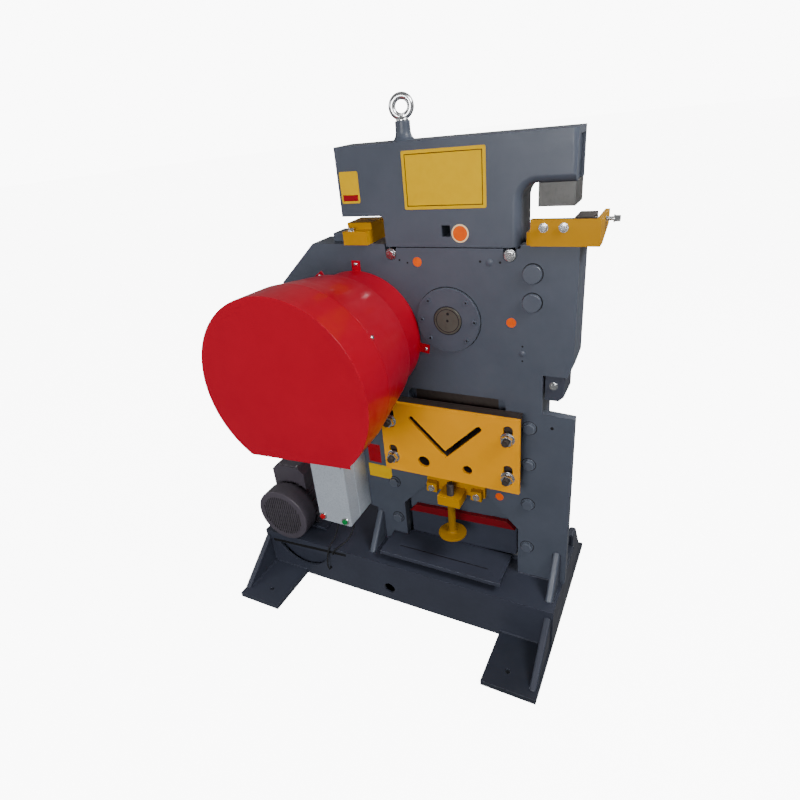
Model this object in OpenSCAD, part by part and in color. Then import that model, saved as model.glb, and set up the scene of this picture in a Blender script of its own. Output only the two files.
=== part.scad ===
// Mechanical ironworker: punch, notcher, section shear and plate shear on one
// sliding ram, driven by a motor, belts, a flywheel shaft and an eccentric.
// Millimetres. X right, Y back, Z up, floor at z = 0, origin at the middle of the
// four foot bolts. Inside every piece x is counted from the eccentric shaft and
// y from the front face of the front plate.

/* [Place] */
// shaft centre, right of the foot bolt centre
shaft_x = 235; // [150:1:320]
// front face of the front plate, ahead of the foot bolt centre
front_y = 30; // [0:1:80]
// eccentric shaft height above the floor
shaft_z = 1180; // [1000:1:1400]

/* [Frame] */
// front and rear plate thickness
plate_t = 30; // [20:1:45]
// width of the core between the plates
core_t = 57; // [40:1:80]
// shaft to the upper right plate edge
plate_right = 388; // [320:1:450]
// shaft to the lower right plate edge
plate_low_right = 401; // [330:1:460]
// shaft to the widest left plate edge
plate_left = 632; // [520:1:700]
// shaft to the lower left plate edge
plate_low_left = 357; // [280:1:420]
// shaft to the left edge behind the switch box
plate_ear_left = 540; // [460:1:600]
// shaft up to the plate shoulders
shoulder_h = 236; // [200:1:280]
// shaft up to the plate top under the ram
plate_top_h = 225; // [190:1:232]
// shaft to the left shoulder corner
shoulder_left = 479; // [380:1:560]
// shaft up to the left chamfer end
chamfer_h = 99; // [40:1:160]
// side notch, left wall from the shaft
notch_in = 300; // [270:1:330]
// side notch, ceiling below the shaft
notch_top = 160; // [130:1:200]
// side notch, floor below the shaft
notch_low = 293; // [250:1:330]
// section window, left edge from the shaft
win_left = 166; // [140:1:200]
// section window, right edge from the shaft
win_right = 184; // [150:1:210]
// section window, top below the shaft
win_top = 262; // [230:1:290]
// section window, bottom below the shaft
win_low = 556; // [500:1:600]
// plate window half width at the table
shear_win_half = 228; // [190:1:240]
// plate window, top below the shaft
shear_win_top = 668; // [630:1:720]
// plate window, end of its slanted sides below the shaft
shear_win_side = 782; // [740:1:850]

/* [Ram] */
// shaft up to the top of the ram head
head_top = 524; // [460:1:600]
// shaft to the left end of the head
head_left = 347; // [280:1:420]
// shaft to the right end of the head
head_right = 368; // [300:1:430]
// shaft up to the underside of the left arm
left_arm_low = 321; // [290:1:380]
// shaft up to the underside of the punch arm
punch_arm_low = 396; // [370:1:440]
// shaft to the left side of the head column
column_left = 199; // [170:1:240]
// shaft to the throat wall
throat_x = 224; // [190:1:250]
// throat corner radius
throat_r = 44; // [20:1:70]
// inner corner radius under the left arm
arm_r = 14; // [6:1:30]
// gap under the head at the bottom of the stroke
seam_gap = 3; // [1:0.5:6]
// tongue, left side from the shaft
tongue_left = 160; // [130:1:190]
// tongue, right side from the shaft
tongue_right = 175; // [140:1:200]
// tongue foot half width
tongue_foot = 215; // [180:1:225]
// sliding clearance around the tongue
slide_gap = 0.5; // [0.2:0.1:1]
// full stroke of the ram
stroke = 26; // [16:1:40]
// rake of the plate shear blade in degrees
rake = 2.8; // [0:0.1:6]

/* [Drive] */
// eccentric disc radius
ecc_r = 70; // [50:1:90]
// main journal radius
journal_r = 45; // [30:1:50]
// bearing flange radius
flange_r = 105; // [80:1:130]
// gear tooth module
gear_m = 6; // [4:0.5:8]
// gear teeth
gear_teeth = 93; // [70:1:120]
// pinion teeth
pinion_teeth = 18; // [14:1:26]
// direction from the eccentric shaft to the drive shaft in degrees
drive_dir = 192.5; // [170:0.5:215]
// gear face width
gear_w = 50; // [30:1:70]
// drive shaft radius
drive_r = 30; // [20:1:40]
// flywheel radius
fly_r = 215; // [150:1:225]
// flywheel width
fly_w = 120; // [60:1:160]
// large pulley radius
pulley_r = 190; // [140:1:220]
// motor pulley radius
motor_pulley_r = 64; // [50:1:80]

/* [Guard] */
// front pan radius
guard_r = 287; // [250:1:320]
// radius where the pan meets the middle shell
guard_mid_r = 281; // [240:1:310]
// radius at the rear rim of the middle shell
guard_rim_r = 246; // [220:1:280]
// rear ring radius
guard_ring_r = 221; // [200:1:240]
// front plate to the guard face
guard_depth = 485; // [400:1:560]
// front plate to the pan seam
guard_seam = 354; // [280:1:420]
// front plate to the middle shell's rear rim
guard_step = 137; // [80:1:200]
// sheet thickness
guard_t = 3; // [1.5:0.5:5]
// drive shaft down to the flat bottom
guard_flat = 226; // [190:1:260]
// tilt of the flat bottom in degrees
guard_tilt = 3.6; // [0:0.1:8]

/* [Base] */
// beam height
beam_h = 190; // [140:1:240]
// front plate to the beam front
beam_front = 151; // [110:1:200]
// shaft to the left end of the base
base_left = 865; // [760:1:960]
// shaft to the right end of the base
base_right = 395; // [340:1:450]
// beam wall thickness
beam_wall = 10; // [6:1:16]
// foot length, front to back
foot_len = 816; // [640:2:960]
// right foot width
foot_right_w = 191; // [140:1:240]
// left foot width
foot_left_w = 194; // [140:1:240]
// foot plate thickness
foot_t = 22; // [12:1:30]
// foot bolt spacing across
foot_bolt_x = 1030; // [900:2:1150]
// foot bolt spacing front to back
foot_bolt_y = 674; // [540:2:800]
// foot bolt hole radius
foot_hole_r = 9; // [7:0.5:14]
// gusset thickness
gusset_t = 25; // [12:1:32]

/* [Motor and switch] */
// motor axis, left of the shaft
motor_x = 733; // [660:1:800]
// motor axis height above the beam top
motor_h = 123; // [100:1:140]
// motor body radius
motor_r = 104; // [70:1:110]
// fan cover radius
fan_cover_r = 120; // [80:1:122]
// fan cover front ahead of the front plate
motor_front = 165; // [110:1:220]
// motor length without the shaft
motor_len = 310; // [240:1:380]
// switch box width
box_w = 150; // [110:1:180]
// switch box height
box_h = 290; // [200:1:320]
// switch box depth
box_d = 159; // [100:1:180]
// switch box right side, left of the shaft
box_right = 386; // [360:1:420]
// switch box bottom above the floor
box_z = 349; // [320:1:460]
// push button radius
button_r = 11; // [8:0.5:15]
// push button travel
button_travel = 4; // [2:0.5:6]

/* [Tools] */
// guide plate half width
guide_half = 250; // [220:1:280]
// guide plate top below the shaft
guide_top = 289; // [270:1:320]
// guide plate bottom below the shaft
guide_low = 573; // [540:1:610]
// guide plate thickness
guide_t = 12; // [8:1:20]
// section die thickness ahead of the front plate
die_t = 60; // [40:1:80]
// stud radius
stud_r = 12; // [8:1:14]
// table top above the floor
table_z = 238; // [215:1:280]
// table front ahead of the front plate
table_front = 132; // [90:1:150]
// table left end from the shaft
table_left = 290; // [240:1:330]
// table right end from the shaft
table_right = 198; // [160:1:220]
// hold down rod radius
hold_r = 13.5; // [8:0.5:18]
// hold down disc radius
hold_disc_r = 52; // [30:1:70]
// hold down disc height above the floor
hold_z = 373; // [300:1:400]
// die holder, right wall from the shaft
holder_right = 440; // [400:1:480]
// die holder front wall ahead of the front plate
holder_front = 18; // [0:1:40]
// die holder wall height
holder_h = 72; // [50:1:90]

/* [Hidden] */

round_fn = 64;
small_fn = 32;
// overrun of every cut
over = 1;
// radial clearance of a turning or sliding shaft
run_gap = 0.05;
// radial clearance of a bolt in its hole
bolt_gap = 0.3;

rear_y = plate_t + core_t;
frame_t = rear_y + plate_t;
beam_rear = 2 * front_y + beam_front;
ecc_e = stroke / 2;

// circle and outline helpers
module bx(x0, x1, y0, y1, z0, z1) translate([x0, y0, z0]) cube([x1 - x0, y1 - y0, z1 - z0]);
module cy(x, z, y0, y1, r, fn = round_fn)
  translate([x, y0, z]) rotate([-90, 0, 0]) cylinder(h = y1 - y0, r = r, $fn = fn);
module cz(x, y, z0, z1, r, fn = round_fn) translate([x, y, z0]) cylinder(h = z1 - z0, r = r, $fn = fn);
module cx(y, z, x0, x1, r, fn = round_fn)
  translate([x0, y, z]) rotate([0, 90, 0]) cylinder(h = x1 - x0, r = r, $fn = fn);
module hexy(x, z, y0, y1, r) translate([x, y0, z]) rotate([-90, 0, 0]) cylinder(h = y1 - y0, r = r, $fn = 6);
module slab(y0, y1) translate([0, y1, 0]) rotate([90, 0, 0]) linear_extrude(y1 - y0) children();
module side(x0, x1) translate([x0, 0, 0]) rotate([90, 0, 90]) linear_extrude(x1 - x0) children();
module rrect(x0, x1, z0, z1, r) {
  translate([x0 + r, z0]) square([x1 - x0 - 2 * r, z1 - z0]);
  translate([x0, z0 + r]) square([x1 - x0, z1 - z0 - 2 * r]);
  for (x = [x0 + r, x1 - r]) for (z = [z0 + r, z1 - r])
    translate([x, z]) circle(r = r, $fn = small_fn);
}
module place() translate([shaft_x, -front_y, 0]) children();
module at_shaft() translate([0, 0, shaft_z]) children();

// small sizes of the frame
notch_edge = 373;
notch_edge_h = 106;
ear_top = 420;
ear_low = 810;
left_low = 180;
low_step = 300;
win_r = 20;
shear_win_in = 119;
cover_bolt_r = 14;
cover_notch_r = 19;
cover_bolt_x1 = -185;
cover_bolt_x2 = 196;
cover_bolt_h = 206;
cover_head = 9;
cover_shank_r = 8;
cover_shank = 50;
core_foot_in = 245;
core_foot_h = 690;
core_foot_top = 660;
frame_bolt_x = 262;
frame_bolt_left = 262;
frame_bolt_h1 = 353;
frame_bolt_h2 = 495;
frame_bolt_h3 = 661;
frame_bolt_h4 = 854;
left_bolt_h1 = 689;
left_bolt_h2 = 863;
bolt_r = 20;
bolt_head = 13;
bolt_shank_r = 12;
pin_x = 263;
pin_z1 = 155;
pin_z2 = 70;
pin_head_r = 28;
pin_head = 11;
bearing_wall = 15;
flange_t = 10;
flange_bolt_pcr = 88;
flange_bolt_r = 7;
flange_bolt_head = 4;
flange_bolt_shank_r = 5;
flange_bolt_shank = 16;
flange_angles = [0, 45, 135, 180, 225, 315];
paint = [0.31, 0.34, 0.38];
base_paint = [0.24, 0.27, 0.32];
yellow = [0.90, 0.65, 0.05];
red = [0.77, 0.03, 0.12];
steel = [0.55, 0.55, 0.54];
zinc = [0.80, 0.81, 0.82];
dark = [0.14, 0.14, 0.15];

// lower shear line values, below the shaft
bed_z = shaft_z - beam_h;
drive_gap = gear_m * (gear_teeth + pinion_teeth) / 2;
drive_x = drive_gap * cos(drive_dir);
drive_z = drive_gap * sin(drive_dir);
bearing_r = journal_r + run_gap + bearing_wall;
drive_bearing_r = drive_r + run_gap + bearing_wall;
drive_flange_r = 75;
frame_bolt_zs = [-frame_bolt_h1, -frame_bolt_h2, -frame_bolt_h3, -frame_bolt_h4];
left_bolt_zs = [-left_bolt_h1, -left_bolt_h2];

// lower right corner of a plate: the front one is wide, the rear one stays within the notch wall
wide_foot = [[plate_low_right, -bed_z], [plate_low_right, -low_step], [notch_in, -notch_low]];
slim_foot = [[notch_in, -bed_z]];
module frame_outline(foot) {
  polygon(concat([[-shoulder_left, shoulder_h], [-plate_left, chamfer_h], [-plate_left, -left_low],
    [-plate_ear_left, -ear_top], [-plate_ear_left, -ear_low], [-plate_low_left, -ear_low - plate_t],
    [-plate_low_left, -bed_z]], foot, [[notch_in, -notch_top], [notch_edge, -notch_top],
    [plate_right, -notch_edge_h], [plate_right, shoulder_h]]));
}
module head_room() {
  polygon([[-column_left - seam_gap, plate_top_h], [-column_left - seam_gap, shoulder_h + over],
    [throat_x + seam_gap, shoulder_h + over], [throat_x + seam_gap, plate_top_h]]);
}
module section_window() rrect(-win_left, win_right, -win_low, -win_top, win_r);
module shear_window() {
  polygon([[-shear_win_in - seam_gap, -shear_win_top], [shear_win_in, -shear_win_top],
    [shear_win_half, -shear_win_side], [shear_win_half, -bed_z - over],
    [-shear_win_half, -bed_z - over], [-shear_win_half, -shear_win_side]]);
}
module frame_bolt_places() {
  for (z = frame_bolt_zs) translate([frame_bolt_x, 0, z]) children();
  for (z = left_bolt_zs) translate([-frame_bolt_left, 0, z]) children();
}
module front_plate() color(paint) place() at_shaft() difference() {
  slab(0, plate_t) difference() {
    frame_outline(wide_foot);
    head_room();
    section_window();
    shear_window();
    for (x = [cover_bolt_x1, cover_bolt_x2]) {
      translate([x, cover_bolt_h]) circle(r = cover_notch_r, $fn = small_fn);
      translate([x - cover_notch_r, cover_bolt_h]) square([2 * cover_notch_r, shoulder_h - cover_bolt_h]);
    }
    circle(r = bearing_r + bolt_gap, $fn = round_fn);
    translate([drive_x, drive_z]) circle(r = drive_bearing_r + bolt_gap, $fn = round_fn);
  }
  frame_bolt_places() cy(0, 0, -over, plate_t + over, bolt_shank_r + bolt_gap, small_fn);
  for (z = [pin_z1, pin_z2]) cy(pin_x, z, -over, plate_t + over, bolt_shank_r + bolt_gap, small_fn);
  for (a = flange_angles)
    cy(flange_bolt_pcr * cos(a), flange_bolt_pcr * sin(a), -over, plate_t + over,
      flange_bolt_shank_r + bolt_gap, small_fn);
  guide_stud_places() cy(0, 0, -over, plate_t + over, stud_r + bolt_gap, small_fn);
  for (x = hold_bolt_xs) cy(x, -hold_bolt_h, -over, plate_t + over, tool_shank_r + bolt_gap, small_fn);
}
module rear_plate() color(paint) place() at_shaft() slab(rear_y, frame_t) difference() {
  frame_outline(slim_foot);
  head_room();
  section_window();
  shear_window();
  circle(r = bearing_r + bolt_gap, $fn = round_fn);
  translate([drive_x, drive_z]) circle(r = drive_bearing_r + bolt_gap, $fn = round_fn);
}
module core_left() color(paint) place() at_shaft() difference() {
  slab(plate_t, rear_y) difference() {
    polygon([[-tongue_left - slide_gap, plate_top_h - seam_gap],
      [-column_left - 2 * seam_gap, plate_top_h - seam_gap], [-column_left - 2 * seam_gap, shoulder_h],
      [-shoulder_left, shoulder_h], [-plate_left, chamfer_h], [-plate_left, -left_low],
      [-plate_ear_left, -ear_top], [-plate_low_left, -ear_top - plate_t], [-plate_low_left, -bed_z],
      [-core_foot_in, -bed_z], [-core_foot_in, -core_foot_h],
      [-tongue_left - slide_gap, -core_foot_top]]);
    translate([drive_x, drive_z]) circle(r = drive_bearing_r + bolt_gap, $fn = round_fn);
  }
  cy(cover_bolt_x1, cover_bolt_h, plate_t - over, cover_shank + over, cover_shank_r + bolt_gap, small_fn);
  for (z = left_bolt_zs)
    cy(-frame_bolt_left, z, plate_t - over, cover_shank + over, bolt_shank_r + bolt_gap, small_fn);
  guide_stud_places() cy(0, 0, plate_t - over, cover_shank + over, stud_r + bolt_gap, small_fn);
}
module core_right() color(paint) place() at_shaft() difference() {
  slab(plate_t, rear_y)
    polygon([[tongue_right + slide_gap, plate_top_h - seam_gap],
      [throat_x + 2 * seam_gap, plate_top_h - seam_gap], [throat_x + 2 * seam_gap, shoulder_h],
      [plate_right, shoulder_h], [plate_right, -notch_edge_h], [notch_edge, -notch_top],
      [notch_in, -notch_top], [notch_in, -bed_z], [core_foot_in, -bed_z], [core_foot_in, -core_foot_h],
      [tongue_right + slide_gap, -core_foot_top]]);
  cy(cover_bolt_x2, cover_bolt_h, plate_t - over, cover_shank + over, cover_shank_r + bolt_gap, small_fn);
  for (z = frame_bolt_zs)
    cy(frame_bolt_x, z, plate_t - over, cover_shank + over, bolt_shank_r + bolt_gap, small_fn);
  for (z = [pin_z1, pin_z2])
    cy(pin_x, z, plate_t - over, cover_shank + over, bolt_shank_r + bolt_gap, small_fn);
  guide_stud_places() cy(0, 0, plate_t - over, cover_shank + over, stud_r + bolt_gap, small_fn);
}
module frame_bolts() color(paint) place() at_shaft() frame_bolt_places() {
  hexy(0, 0, -bolt_head, 0, bolt_r);
  cy(0, 0, 0, cover_shank, bolt_shank_r, small_fn);
}
module pin_heads() color(paint) place() at_shaft() for (z = [pin_z1, pin_z2]) {
  cy(pin_x, z, -pin_head, 0, pin_head_r);
  cy(pin_x, z, 0, cover_shank, bolt_shank_r, small_fn);
}
module cover_bolts() color(zinc) place() at_shaft() for (x = [cover_bolt_x1, cover_bolt_x2]) {
  cy(x, cover_bolt_h, -cover_head, plate_t, cover_bolt_r, small_fn);
  cy(x, cover_bolt_h, plate_t, cover_shank, cover_shank_r, small_fn);
}
module bearing_front() color(paint) place() at_shaft() difference() {
  union() {
    cy(0, 0, -flange_t, 0, flange_r);
    cy(0, 0, 0, plate_t, bearing_r);
  }
  cy(0, 0, -flange_t - over, plate_t + over, journal_r + run_gap);
  for (a = flange_angles)
    cy(flange_bolt_pcr * cos(a), flange_bolt_pcr * sin(a), -flange_t - over, over,
      flange_bolt_shank_r + bolt_gap, small_fn);
}
module flange_bolts() color(paint) place() at_shaft() for (a = flange_angles)
  translate([flange_bolt_pcr * cos(a), 0, flange_bolt_pcr * sin(a)]) {
    cy(0, 0, -flange_t - flange_bolt_head, -flange_t, flange_bolt_r, small_fn);
    cy(0, 0, -flange_t, flange_bolt_shank, flange_bolt_shank_r, small_fn);
  }
module bearing_rear() color(paint) place() at_shaft() difference() {
  union() {
    cy(0, 0, rear_y, frame_t, bearing_r);
    cy(0, 0, frame_t, frame_t + flange_t, flange_r);
  }
  cy(0, 0, rear_y - over, frame_t + flange_t + over, journal_r + run_gap);
}

// small sizes of the ram and its tools
slot_x = 5;
slot_z = 275;
slot_w = 27;
slot_h = 33;
ecc_side_gap = 3;
foot_drop = 700;
foot_slope = 50;
tongue_low = 815;
blade_win_half = 150;
blade_win_top = 250;
blade_win_low = 610;
die_top = 300;
die_low = 560;
v_x = -8;
v_rise = 166;
v_arm = 182;
v_w = 20;
bar_x1 = -93;
bar_x2 = 70;
bar_edge = 46;
bar_r1 = 22;
bar_r2 = 17;
holder_back = 12;
holder_bar_h = 33;
holder_cut = 30;
blade_y = 58.5;
blade_overlap = 4;
blade_gap = 0.3;
punch_x1 = 366;
punch_y0 = 20;
punch_h = 62;
pocket_in = 9;
pocket_y0 = 32;
pocket_rim = 18;
boss_r = 22;
boss_foot_r = 32;
boss_foot_h = 12;
boss_h = 52;
eye_x = 137;
eye_ring_r = 27;
eye_rod_r = 10;
eye_neck_r = 12;
eye_neck = 14;
eye_turn = -20;
label_t = 1;
label_x0 = -122;
label_x1 = 130;
label_z0 = 338;
label_z1 = 500;
tag_x0 = -338;
tag_x1 = -273;
tag_z0 = 361;
tag_z1 = 454;

tongue_y0 = plate_t + slide_gap;
tongue_y1 = rear_y - slide_gap;
head_low = plate_top_h + seam_gap;
ecc_room = ecc_r + ecc_e + ecc_side_gap;
v_apex = die_top + v_rise;
bar_h = die_low - bar_edge;
punch_x0 = throat_x + throat_r;

// openings of the section shear: a vee and two bars
module section_holes() {
  for (s = [-1, 1]) translate([v_x, -v_apex]) rotate(s * 45) {
    translate([-v_w / 2, 0]) square([v_w, v_arm - v_w / 2]);
    translate([0, v_arm - v_w / 2]) circle(r = v_w / 2, $fn = small_fn);
  }
  translate([v_x, -v_apex]) rotate(45) translate([-v_w / 2, -v_w / 2]) square([v_w, v_w]);
  translate([bar_x1, -bar_h]) circle(r = bar_r1, $fn = round_fn);
  translate([bar_x2, -bar_h]) circle(r = bar_r2, $fn = round_fn);
}
module head_outline() {
  difference() {
    polygon([[-head_left, head_top], [-head_left, left_arm_low], [-column_left, left_arm_low],
      [-column_left, head_low], [throat_x, head_low], [throat_x, punch_arm_low],
      [head_right, punch_arm_low], [head_right, head_top]]);
    translate([slot_x - slot_w / 2, slot_z - slot_h / 2]) square([slot_w, slot_h]);
  }
  difference() {
    translate([throat_x - over, punch_arm_low - throat_r]) square([throat_r + over, throat_r + over]);
    translate([throat_x + throat_r, punch_arm_low - throat_r]) circle(r = throat_r, $fn = round_fn);
  }
  difference() {
    translate([-column_left - arm_r, left_arm_low - arm_r]) square([arm_r + over, arm_r + over]);
    translate([-column_left - arm_r, left_arm_low - arm_r]) circle(r = arm_r, $fn = small_fn);
  }
}
module tongue_outline() {
  rise = tongue_foot * tan(rake);
  difference() {
    polygon([[-tongue_left, head_low + over], [-tongue_left, -foot_drop],
      [-tongue_foot, -foot_drop - foot_slope], [-tongue_foot, -tongue_low - rise],
      [tongue_foot, -tongue_low + rise], [tongue_foot, -foot_drop - foot_slope],
      [tongue_right, -foot_drop], [tongue_right, head_low + over]]);
    translate([-ecc_room, -ecc_room - stroke]) square([2 * ecc_room, 2 * ecc_room + stroke]);
    translate([-blade_win_half, -blade_win_low - stroke])
      square([2 * blade_win_half, blade_win_low - blade_win_top]);
  }
}
module ram() color(paint) place() at_shaft() {
  difference() {
    slab(0, frame_t) head_outline();
    bx(head_right - pocket_in, head_right + over, pocket_y0, frame_t - pocket_rim,
      punch_arm_low - over, head_top - pocket_rim);
  }
  slab(tongue_y0, tongue_y1) tongue_outline();
}
module section_blade() color(steel) place() at_shaft() slab(tongue_y0, tongue_y1) difference() {
  translate([-blade_win_half, -blade_win_low - stroke])
    square([2 * blade_win_half, blade_win_low - blade_win_top]);
  translate([0, -stroke]) section_holes();
}
module punch_block() color(steel) place() at_shaft()
  bx(punch_x0, punch_x1, punch_y0, frame_t, punch_arm_low - punch_h, punch_arm_low);
module eye_bolt() place() at_shaft() translate([-eye_x, frame_t / 2, head_top]) {
  color(paint) {
    cylinder(h = boss_foot_h, r1 = boss_foot_r, r2 = boss_r, $fn = small_fn);
    translate([0, 0, boss_foot_h]) cylinder(h = boss_h - boss_foot_h, r = boss_r, $fn = small_fn);
  }
  color(zinc) {
    translate([0, 0, boss_h]) cylinder(h = eye_neck, r = eye_neck_r, $fn = small_fn);
    translate([0, 0, boss_h + eye_ring_r + eye_rod_r]) rotate([90, 0, eye_turn])
      rotate_extrude($fn = round_fn) translate([eye_ring_r, 0]) circle(r = eye_rod_r, $fn = small_fn);
  }
}
module raked(drop) translate([0, 0, -tongue_low - drop]) rotate([0, -rake, 0]) children();
module blade_holder() color(red) place() at_shaft() raked(0) slab(holder_back, tongue_y0)
  polygon([[-tongue_foot + over, 0], [tongue_foot - over, 0],
    [tongue_foot - over - holder_cut, holder_bar_h], [-tongue_foot + over + holder_cut, holder_bar_h]]);
module upper_blade() color(steel) place() at_shaft() slab(tongue_y0, blade_y - blade_gap) {
  rise = tongue_foot * tan(rake);
  edge = -shaft_z + table_z - blade_overlap;
  polygon([[-tongue_foot, -tongue_low - rise], [-tongue_foot, edge - rise],
    [tongue_foot, edge + rise], [tongue_foot, -tongue_low + rise]]);
}
module label_plates() color(yellow) place() at_shaft() {
  bx(label_x0, label_x1, -label_t, 0, label_z0, label_z1);
  bx(tag_x0, tag_x1, -label_t, 0, tag_z0, tag_z1);
}

// small sizes of the fixed tools
bed_h = 25;
blade_end = 14;
table_t = 16;
table_tail = 28;
table_groove = 4;
groove_y = 71;
groove_w = 6;
groove_x0 = -228;
groove_x1 = 139;
bar_w = 30;
bar_inset = 40;
hold_y = 66;
hold_back_half = 112;
hold_back_t = 16;
hold_back_edge = 16;
hold_back_rise = 52;
hold_block_half = 42;
hold_block_front = 90;
hold_block_drop = 10;
hold_block_h = 38;
hold_lug_t = 39;
hold_lug_w = 40;
hold_lug_rise = 22;
hold_bolt_edge = 26;
hold_bolt_drop = 90;
hold_disc_t = 10;
hold_rod_out = 8;
tool_bolt_r = 11;
tool_bolt_head = 9;
tool_shank_r = 6;
tool_shank = 26;
die_half = 239;
stud_x = 212;
stud_h1 = 362;
stud_h2 = 512;
slot_len = 78;
slot_r = 16;
slot_up = 8;
nut_r = 21;
nut_t = 18;
washer_r = 24;
washer_t = 4;
stud_out = 14;
hold_bolt_h = die_low + hold_bolt_drop;
hold_back_low = hold_bolt_h + hold_back_edge;
hold_back_top = hold_bolt_h - hold_back_rise;
hold_block_low = hold_back_low + hold_block_drop;
hold_block_top = hold_block_low - hold_block_h;
hold_top = hold_back_top - hold_rod_out;
hold_bolt_x = hold_back_half - hold_bolt_edge;
hold_bolt_xs = [-hold_bolt_x, hold_bolt_x];
guide_y0 = -die_t - guide_t;

module guide_stud_places() for (x = [-stud_x, stud_x]) for (h = [stud_h1, stud_h2])
  translate([x, 0, -h]) children();
module shear_bed() color(base_paint) place()
  bx(-core_foot_in + slide_gap, core_foot_in - slide_gap, blade_y, rear_y, beam_h, beam_h + bed_h);
module lower_blade() color(steel) place()
  bx(-shear_win_half, shear_win_half, blade_y, rear_y, beam_h + bed_h, table_z);
module shear_table() color(base_paint) place() difference() {
  union() {
    bx(-table_left, table_right, -table_front, -over, table_z - table_t, table_z);
    bx(-shear_win_half + seam_gap, table_right, -over, table_tail, table_z - table_t, table_z);
  }
  bx(groove_x0, groove_x1, -groove_y - groove_w, -groove_y, table_z - table_groove, table_z + over);
}
module table_bars() color(base_paint) place()
  for (x = [-table_left + bar_inset, table_right - bar_inset - bar_w])
    bx(x, x + bar_w, -table_front + bar_inset, -seam_gap, beam_h, table_z - table_t);
module hold_bracket() color(yellow) place() at_shaft() difference() {
  union() {
    bx(-hold_back_half, hold_back_half, -hold_back_t, 0, -hold_back_low, -hold_back_top);
    bx(-hold_block_half, hold_block_half, -hold_block_front, -hold_back_t, -hold_block_low, -hold_block_top);
    for (x = hold_bolt_xs) bx(x - hold_lug_w / 2, x + hold_lug_w / 2, -hold_lug_t, -hold_back_t,
      -hold_back_low, hold_lug_rise - hold_bolt_h);
  }
  cz(0, -hold_y, -hold_block_low - over, -hold_block_top + over, hold_r + run_gap);
  for (x = hold_bolt_xs) cy(x, -hold_bolt_h, -hold_lug_t - over, over, tool_shank_r + bolt_gap, small_fn);
}
module hold_screw() color(yellow) place() {
  cz(0, -hold_y, hold_z, shaft_z - hold_top, hold_r);
  cz(0, -hold_y, hold_z - hold_disc_t, hold_z, hold_disc_r);
}
module section_die() color(dark) place() at_shaft() difference() {
  slab(-die_t, 0) difference() {
    translate([-die_half, -die_low]) square([2 * die_half, die_low - die_top]);
    section_holes();
  }
  guide_stud_places() cy(0, 0, -die_t - over, over, stud_r + bolt_gap, small_fn);
}
module guide_plate() color(yellow) place() at_shaft() slab(guide_y0, -die_t) difference() {
  translate([-guide_half, -guide_low]) square([2 * guide_half, guide_low - guide_top]);
  section_holes();
  for (x = [-stud_x, stud_x]) for (h = [stud_h1, stud_h2]) translate([x, slot_up - h]) {
    for (s = [-1, 1]) translate([0, s * (slot_len / 2 - slot_r)]) circle(r = slot_r, $fn = small_fn);
    square([2 * slot_r, slot_len - 2 * slot_r], center = true);
  }
}
module guide_studs() color(zinc) place() at_shaft() guide_stud_places() {
  cy(0, 0, guide_y0 - washer_t - nut_t - stud_out - bolt_gap, cover_shank, stud_r, small_fn);
  cy(0, 0, guide_y0 - washer_t - bolt_gap, guide_y0 - bolt_gap, washer_r, small_fn);
  hexy(0, 0, guide_y0 - washer_t - nut_t - bolt_gap, guide_y0 - washer_t - bolt_gap, nut_r);
}

// small sizes of the punch die and the notcher
holder_x0 = 258;
holder_wall = 12;
holder_base_x = 245;
holder_base_h = 36;
holder_base_y = 6;
holder_tail = 120;
end_wall = 12;
end_step = 20;
end_rise = 34;
holder_bolt_x1 = 293;
holder_bolt_x2 = 346;
holder_bolt_h = 50;
die_x0 = 365;
die_x1 = 412;
die_y0 = 22;
die_y1 = 108;
die_screw_y = 55;
die_screw_h = 58;
die_screw_r = 6;
die_screw_out = 24;
die_knob_r = 9;
die_knob = 12;
ntable_x0 = -342;
ntable_x1 = -254;
ntable_front = 18;
ntable_low = 42;
ntable_step = 18;
ntable_top = 63;
ntable_rear = 112;
nbolt_x = 318;
nstop_x0 = -412;
nstop_x1 = -345;
nstop_y0 = 34;
nstop_y1 = 110;
nstop_h = 28;
sblock_x0 = 306;
sblock_x1 = 364;
sblock_y0 = 6;
sblock_y1 = 111;
sblock_h = 86;
sblock_cut = 16;
sblock_bolt_x = 332;
sblock_bolt_h = 194;

module die_holder() color(yellow) place() at_shaft() translate([0, 0, shoulder_h]) difference() {
  union() {
    bx(holder_x0, holder_right - end_wall, -holder_front, -holder_front + holder_wall, 0, holder_h);
    bx(holder_base_x, die_x0, holder_base_y - holder_wall, holder_tail, 0, holder_base_h);
    bx(die_x0, holder_right - end_wall, holder_base_y - holder_wall, holder_tail, 0, holder_base_h / 2);
    side(holder_right - end_wall, holder_right)
      polygon([[-holder_front, 0], [end_step, 0], [holder_tail, end_rise], [holder_tail, holder_h],
        [-holder_front, holder_h]]);
  }
  for (x = [holder_bolt_x1, holder_bolt_x2])
    cy(x, holder_bolt_h, -holder_front - over, -holder_front + holder_wall + over,
      tool_shank_r + bolt_gap, small_fn);
  cx(die_screw_y, die_screw_h, holder_right - end_wall - over, holder_right + over,
    die_screw_r + run_gap, small_fn);
}
module die_block() color(dark) place() at_shaft() translate([0, 0, shoulder_h])
  bx(die_x0, die_x1, die_y0, die_y1, holder_base_h / 2, holder_h - seam_gap);
module die_screw() color(zinc) place() at_shaft() translate([0, 0, shoulder_h]) {
  cx(die_screw_y, die_screw_h, die_x1 + bolt_gap, holder_right + die_screw_out, die_screw_r, small_fn);
  cx(die_screw_y, die_screw_h, holder_right + die_screw_out, holder_right + die_screw_out + die_knob,
    die_knob_r, 6);
}
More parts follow.
